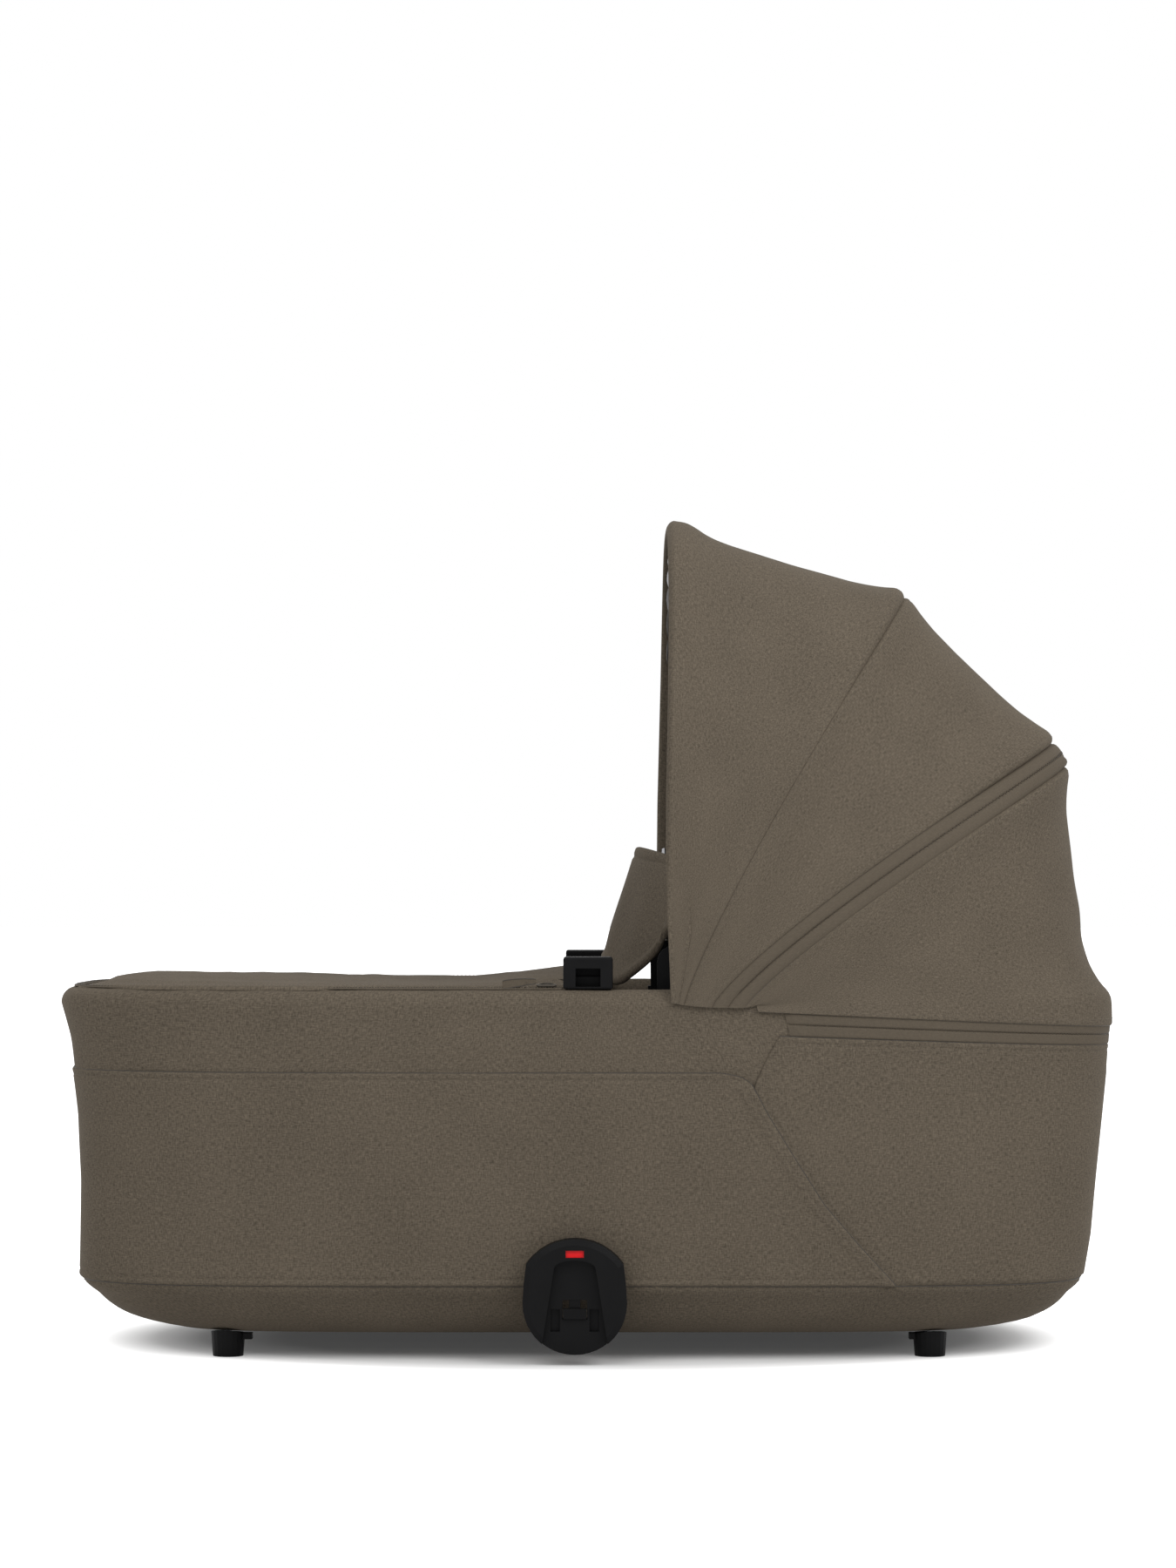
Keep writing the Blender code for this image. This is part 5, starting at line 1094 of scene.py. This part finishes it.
# Heights of the flap's lower edge by its share of the half width
FLAP_LOW = np.array([
    (0.00, 0.3030), (0.24, 0.3022), (0.30, 0.2985), (0.36, 0.2910), (0.42, 0.2862), (0.50, 0.2850),
    (0.60, 0.2868), (0.715, 0.2932), (0.8137, 0.3002), (0.896, 0.3081), (0.935, 0.3150),
    (0.971, 0.3240), (1.00, 0.3320),
])
FLAP_SIDE_LOW_X = 0.0622
FLAP_TOP = (0.0408, 0.3950)
FLAP_SIDE_TOP = (0.0750, 0.3834)
FLAP_CURVE_POWER = 2.4


def apron_half_width(x):
    open_share = smooth((x + 0.205) / 0.035) + 1 - smooth((x + 0.385) / 0.050)
    wide = half_width(x, RIM_AXIS_Z) - mix(APRON_INSET, APRON_OPEN_INSET, open_share)
    return mix(wide, APRON_NARROW_HALF, smooth((x + 0.062) / 0.038))


def foot_drop(x):
    return APRON_FOOT_DROP * (1 - smooth((x - APRON_FOOT_X) / 0.040))


def apron_top(x, across):
    middle = np.interp(x, APRON_MIDDLE[:, 0], APRON_MIDDLE[:, 1])
    edge = APRON_EDGE_TOP - foot_drop(x)
    return edge + (middle - edge) * (1 - across ** 3)


def apron_outline(count):
    """The apron's edge seen from above, at even steps, starting at the middle of its open end."""
    x = np.concatenate([APRON_FOOT_X + 0.0002 + 0.03 * np.linspace(0, 1, 60) ** 3,
                        np.linspace(APRON_FOOT_X + 0.031, APRON_END_X, 300)])
    near = np.stack([x, -apron_half_width(x)], axis=1)
    near[-1, 0] = APRON_END_X
    end = [[APRON_END_X, 0.0]]
    loop = np.concatenate([end, near[::-1], [[APRON_FOOT_X, 0.0]], near * (1, -1), end])
    run = length_along(loop)
    outline = at_places(np.linspace(0, run[-1], count, endpoint=False), run, loop)
    for _ in range(6):
        outline = (outline * 2 + np.roll(outline, 1, axis=0) + np.roll(outline, -1, axis=0)) / 4
    return outline


def apron():
    """The padded cover over the foot half: bound edge, topstitching, and a crowned middle."""
    outline = apron_outline(440)
    along = np.roll(outline, -1, axis=0) - np.roll(outline, 1, axis=0)
    inner_side = unit(np.stack([along[:, 1], -along[:, 0]], axis=1))
    inner_side *= np.where(((APRON_CENTRE - outline) * inner_side).sum(axis=1, keepdims=True) < 0, -1, 1)
    rings = []
    for inset, z in APRON_RISE:
        rings.append(np.concatenate([outline + inner_side * inset, z - foot_drop(outline[:, :1])], axis=1))
    last = rings[-1][:, :2]
    for share in (0.97, 0.93, 0.88, 0.82, 0.75, 0.68, 0.60, 0.52, 0.44, 0.36, 0.28, 0.20, 0.12, 0.05, 0.004):
        place = APRON_CENTRE + (last - APRON_CENTRE) * share
        rings.append(np.concatenate([place, np.zeros((len(place), 1))], axis=1))
    surface = np.stack(rings)
    for row in range(APRON_FLAT_RINGS, len(surface)):
        x, y = surface[row, :, 0], surface[row, :, 1]
        half = np.maximum(apron_half_width(np.clip(x, -0.4012, APRON_END_X)), 0.02)
        inset = APRON_RISE[row][0] if row < len(APRON_RISE) else 0.05
        low = APRON_RISE[APRON_FLAT_RINGS - 1][1] - foot_drop(x)
        top = apron_top(x, np.clip(np.abs(y) / half, 0, 1))
        surface[row, :, 2] = low + (top - low) * smooth((inset - 0.0072) / 0.024)
    ripple = 0.0007 * noise(surface * (1, 1, 0), 0.10, 41) + 0.0004 * noise(surface * (1, 1, 0), 0.035, 42)
    spread = np.ones(len(surface))
    spread[:APRON_FLAT_RINGS] = 0
    spread[APRON_FLAT_RINGS:APRON_FLAT_RINGS + 8] = np.linspace(0, 1, 8) ** 0.7
    surface[..., 2] += ripple * spread[:, None]
    low = surface[0]
    under = []
    for share in (0.01, 0.6, 0.97):
        under.append(np.concatenate([APRON_CENTRE + (low[:, :2] - APRON_CENTRE) * share, low[:, 2:]], axis=1))
    surface = np.concatenate([np.stack(under), surface])
    piece = Piece("apron_pad")
    places = np.concatenate([surface, surface[:, :1]], axis=1)[..., 1::-1]
    piece.grid(surface, places, closed=True, turned=True)
    row = surface[len(under) + APRON_FLAT_RINGS]
    line = np.concatenate([row, row[:1]])
    piece.stitches(line, np.tile((0.0, 0.0, 1.0), (len(line), 1)))
    pad = piece.build([CLOTH, THREAD], "cot", ["apron"])


def apron_zip():
    """The zip round the apron: its tape on the rim and the closed teeth."""
    start = turn_at(ZIP_END_X, RIM_AXIS_Z)
    turns = even_turns(420, -float(start), float(start))
    rows = [wall(turns, RIM_AXIS_Z, ZIP_INSET + inset) + (0, 0, RIM_ROLL + lift) for inset, lift in ZIP_TAPE]
    outer = np.stack(rows)
    inner = outer.copy()
    inner[..., 2] = RIM_AXIS_Z + RIM_ROLL + 0.0003
    piece = Piece("apron_zip_tape")
    piece.sheet(outer, inner, run_places(outer))
    up = np.tile((0.0, 0.0, 1.0), (len(turns), 1))
    piece.blocks(outer[4], up, 0.0021, (0.0015, 0.0024, 0.0012), slot=2, side_step=0.0006, lift=0.0004)
    for row in (2, 6):
        piece.stitches(outer[row], up, **FINE_STITCH)
    piece.build([TAPE, THREAD, TEETH], "cot", ["apron_zip"])


def ring_loft(piece, sections):
    """A closed form through sections of equal count, capped by drawing its ends to their centres."""
    caps = [end.mean(axis=0) + (end - end.mean(axis=0)) * 0.01 for end in (sections[0], sections[-1])]
    surface = np.stack([caps[0], *sections, caps[1]])
    piece.grid(surface, run_places(surface, closed=True), closed=True)


def rounded_section(x, y, z, half_y, half_z, count=20, power=3.2):
    """A section with rounded corners across the cot's length, round a middle point."""
    turns = np.linspace(0, 2 * math.pi, count, endpoint=False)
    c, s = np.cos(turns), np.sin(turns)
    across = y + np.sign(c) * np.abs(c) ** (2 / power) * half_y
    return np.stack([np.full(count, x), across, z + np.sign(s) * np.abs(s) ** (2 / power) * half_z], axis=1)


def zip_slider(y):
    """The slider: a waisted body with a rounded nose and the bridge that holds the pull."""
    piece = Piece("zip_slider")
    sections = []
    for share, width, height in SLIDER_SECTIONS:
        x = SLIDER_X - SLIDER_HALF_LENGTH + share * 2 * SLIDER_HALF_LENGTH
        sections.append(rounded_section(x, y, SLIDER_LOW_Z + 0.00125, 0.00375 * width, 0.00115 * height))
    ring_loft(piece, sections)
    steps = np.linspace(0, 1, 15)
    arch = SLIDER_LOW_Z + 0.0021 + 0.00105 * np.sqrt(np.maximum(np.sin(math.pi * steps), 0))
    bridge = np.stack([SLIDER_X - 0.0052 + 0.0104 * steps, np.full(15, y), arch], axis=1)
    piece.rope(bridge, 0.00055, sides=10)
    piece.build([ZINC], "zip_runner", ["apron_zip_slider"])


def zip_pull(y):
    """The cloth pull: one tape folded on itself, sewn across near its fold."""
    piece = Piece("zip_pull_tab")
    start = SLIDER_X - SLIDER_HALF_LENGTH
    centre_y = y - 0.0019

    def middle_z(share):
        return SLIDER_LOW_Z + PULL_HIGH_Z - (PULL_HIGH_Z - PULL_LOW_Z) * share

    sections = []
    for share, half_y, half_z in PULL_SECTIONS:
        bent_y = centre_y + 0.0006 * math.sin(share * 3.0)
        z = middle_z(share) + 0.0003 * math.sin(share * 4.0)
        sections.append(rounded_section(start - PULL_LENGTH * share, bent_y, z, half_y, half_z, 28, 6.0))
    ring_loft(piece, sections)
    side = np.stack(sections[1:-1])
    # Dark cords along the tab's four edges: painted shade
    for corner in (3, 11, 17, 25):
        piece.rope(side[:, corner], 0.00045, slot=2, sides=6)
    for share in (0.27, 0.32):
        heights = np.linspace(middle_z(share) - 0.0022, middle_z(share) + 0.0022, 20)
        for face in (-1, 1):
            x = np.full(20, start - PULL_LENGTH * share)
            aside = np.full(20, centre_y + face * 0.0008)
            out = np.tile((0.0, float(face), 0.0), (20, 1))
            line = np.stack([x, aside, heights], axis=1)
            piece.stitches(line, out, pitch=0.0018, length=0.0012, width=0.0004)
    piece.build([TAPE, THREAD, SEAM_SHADOW], "zip_runner", ["apron_zip_pull"])


def flap_points(across, up, depth):
    """Points of the wind flap: across from -1 to 1, up from 0 to 1, depth through its padding."""
    wide = np.abs(across)
    bowed = wide ** FLAP_CURVE_POWER
    low_z = sum(np.interp(np.clip(wide + step, 0, 1), *FLAP_LOW.T) for step in (-0.02, 0.0, 0.02)) / 3
    low = np.stack([mix(FLAP_BASE[0], FLAP_SIDE_LOW_X, bowed), low_z], axis=-1)
    high = np.stack([mix(FLAP_TOP[k], FLAP_SIDE_TOP[k], bowed) for k in (0, 1)], axis=-1)
    point = low + (high - low) * up[..., None]
    slope = unit(high - low)
    x = point[..., 0] + slope[..., 1] * depth
    z = point[..., 1] - slope[..., 0] * depth
    return np.stack([x, across * FLAP_HALF_WIDTH, z], axis=-1)


def wind_flap():
    """The wind flap: two cloths over a thin wadding, with a bound edge and a hem line under its top."""
    ups = np.concatenate([[0.0, 0.004, 0.012, 0.025, 0.045, 0.07, 0.09, 0.11], np.linspace(0.15, 0.85, 16),
                          [0.885, 0.905, 0.915, 0.925, 0.945, 0.965, 0.982, 0.993, 1.0]])
    edge = np.array([0.0, 0.003, 0.008, 0.015, 0.025, 0.035, 0.042, 0.05, 0.06])
    crosses = np.concatenate([-1 + edge, np.linspace(-0.92, 0.92, 75), 1 - edge[::-1]])
    across, up = np.meshgrid(crosses, ups)
    bottom_far = up * FLAP_HEIGHT
    edge_far = np.minimum((1 - up) * FLAP_HEIGHT, (1 - np.abs(across)) * FLAP_HALF_WIDTH)
    nearest = np.minimum(edge_far, bottom_far)
    half = FLAP_THICKNESS / 2 * rounded(nearest, 0.0026)
    half = half - 0.0010 * bump(edge_far, FLAP_HEM, 0.0013) + 0.0012 * bump(bottom_far, 0.0045, 0.0030)
    flat = flap_points(across, up, np.zeros_like(up))
    half = half + (0.0006 * noise(flat, 0.07, 51) + 0.0004) * smooth((nearest - 0.009) / 0.02)
    half = np.maximum(half, 0.0)
    outer, inner = flap_points(across, up, -half), flap_points(across, up, half)
    piece = Piece("wind_flap_pad")
    piece.sheet(outer, inner, run_places(outer), (0, 1))
    row = int(np.argmin(np.abs((1 - ups) * FLAP_HEIGHT - FLAP_HEM)))
    column = int(np.argmin(np.abs((1 + crosses) * FLAP_HALF_WIDTH - FLAP_HEM)))
    for surface, side in ((outer, -1.0), (inner, 1.0)):
        normal = np.tile((side, 0.0, 0.15), surface.shape[:2] + (1,))
        piece.stitch_rows(surface, normal, (row,), column, slot=2)
        for col in (column, len(crosses) - 1 - column):
            piece.stitches(surface[2:row, col], normal[2:row, col], slot=2)
    flap = piece.build([CLOTH, CLOTH_INSIDE, THREAD], "flap", ["wind_flap"])


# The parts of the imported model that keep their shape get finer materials

FINISHES = {
    "foot_near": BLACK, "foot_far": BLACK, "foot_screw": STEEL, "mount_disc": BLACK,
    "disc_latch": BLACK_SMOOTH, "lock_indicator": RED, "release_housing": BLACK,
    "release_slider": BLACK_SMOOTH, "release_rod": STEEL, "canopy_hub": BLACK, "hub_pin": STEEL,
    "bow_arm": BLACK, "canopy_bow": STEEL, "rim_frame": STEEL, "end_stay": STEEL,
    "side_upright": STEEL, "floor_tray": BLACK, "flap_magnet": ZINC,
}


def paint_nodes():
    for name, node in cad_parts.items():
        for start, made in FINISHES.items():
            if name.startswith(start):
                for slot in node.material_slots:
                    slot.material = made


# Floor, light and camera

GLOW_HALF_LENGTH = 0.62
GLOW_HALF_WIDTH = 0.42
GLOW_REACH = 2.4
# Glow of the floor by distance from the cot's middle, in half lengths and half widths: little under the cot,
# so that the dark floor there is a painted shadow as well as a cast one
FLOOR_GLOW = ((0.0, 0.05), (0.40, 0.05), (0.50, 0.10), (0.56, 0.26), (0.60, 0.55), (0.64, 0.85), (0.72, 1.0),
              (GLOW_REACH, 1.05))
FLOOR_REACH = 40.0
WORLD_STRENGTH = 0.56
# Lamps: place, the point that each is turned to, size and power in watts
LAMPS = {
    "key": ((-1.0, -2.4, 2.4), (0.0, 0.0, 0.30), 2.4, 36),
    "top": ((0.5, 0.2, 3.0), (0.1, 0.0, 0.3), 2.6, 12),
    "fill": ((1.4, -1.5, 1.7), (0.25, 0.0, 0.50), 1.2, 22),
}
# The camera, in metres, and pixels of the photo's frame of 1350 x 1800
CAMERA_PLACE = (0.0, -3.4, 0.358)
FRAME_HEIGHT = 1800
FOCAL_LENGTH = 4832
HORIZON_ROW = 1025
SENSOR = 36.0


def floor_material():
    """A pale matt surface that glows a little where it is seen or mirrored, and more far away: the weak glow
    near the cot paints part of its shadow.
    """
    made, nodes = new_material("studio_floor")
    stretch = (1 / GLOW_HALF_LENGTH, 1 / GLOW_HALF_WIDTH, 0.0)
    place = nodes.add("Mapping", {"Scale": stretch, "Vector": nodes.coordinates("Object")})[0]
    length = nodes.add("VectorMath", {0: place}, "LENGTH")["Value"]
    stops = [(place / GLOW_REACH, (value, value, value)) for place, value in FLOOR_GLOW]
    glow = nodes.ramp(nodes.calc("MULTIPLY", length, 1 / GLOW_REACH), stops)
    nodes.shade({
        "Base Color": (0.80, 0.80, 0.80, 1.0), "Roughness": 1.0, "Specular IOR Level": 0.0,
        "Emission Color": (1.0, 1.0, 1.0, 1.0),
        "Emission Strength": nodes.calc("MULTIPLY", nodes.seen(), glow),
    })
    return made


def floor():
    mesh = bpy.data.meshes.new("studio_floor")
    corners = [(x * FLOOR_REACH, y * FLOOR_REACH, 0) for x, y in ((-1, -1), (1, -1), (1, 1), (-1, 1))]
    mesh.from_pydata(corners, [], [(0, 1, 2, 3)])
    mesh.materials.append(floor_material())
    plane = bpy.data.objects.new("studio_floor", mesh)
    bpy.context.scene.collection.objects.link(plane)


def light_scene():
    world = bpy.data.worlds.new("studio")
    bpy.context.scene.world = world
    nodes = Nodes(world)
    strength = nodes.calc("MAXIMUM", nodes.seen(), WORLD_STRENGTH)
    nodes.fill(nodes.tree.nodes["Background"], {"Color": (1.0, 1.0, 1.0, 1.0), "Strength": strength})
    for name, (place, aim, size, power) in LAMPS.items():
        light = bpy.data.lights.new(name, "AREA")
        light.shape = "RECTANGLE"
        light.size = light.size_y = size
        light.energy = power
        lamp = bpy.data.objects.new(name, light)
        lamp.location = place
        lamp.rotation_euler = (Vector(aim) - Vector(place)).to_track_quat("-Z", "Y").to_euler()
        bpy.context.scene.collection.objects.link(lamp)


def camera():
    lens = bpy.data.cameras.new("camera")
    lens.sensor_width = SENSOR
    lens.sensor_fit = "AUTO"
    lens.lens = FOCAL_LENGTH / FRAME_HEIGHT * SENSOR
    lens.shift_y = (HORIZON_ROW - FRAME_HEIGHT / 2) / FRAME_HEIGHT
    lens.clip_end = 200.0
    eye = bpy.data.objects.new("camera", lens)
    eye.location = CAMERA_PLACE
    eye.rotation_euler = (math.pi / 2, 0.0, 0.0)
    bpy.context.scene.collection.objects.link(eye)
    bpy.context.scene.camera = eye
    bpy.context.scene.view_settings.view_transform = "Standard"


camera()
light_scene()
floor()
body_cover()
lower_panel()
head_pocket()
head_zip()
lining_cup()
mattress()
front_panel()
middle_panel()
zip_panel()
rear_panel()
apron()
apron_zip()
SLIDER_Y = -float(half_width(SLIDER_X, RIM_AXIS_Z) - ZIP_INSET - ZIP_WIDTH / 2)
zip_slider(SLIDER_Y)
zip_pull(SLIDER_Y)
wind_flap()
paint_nodes()
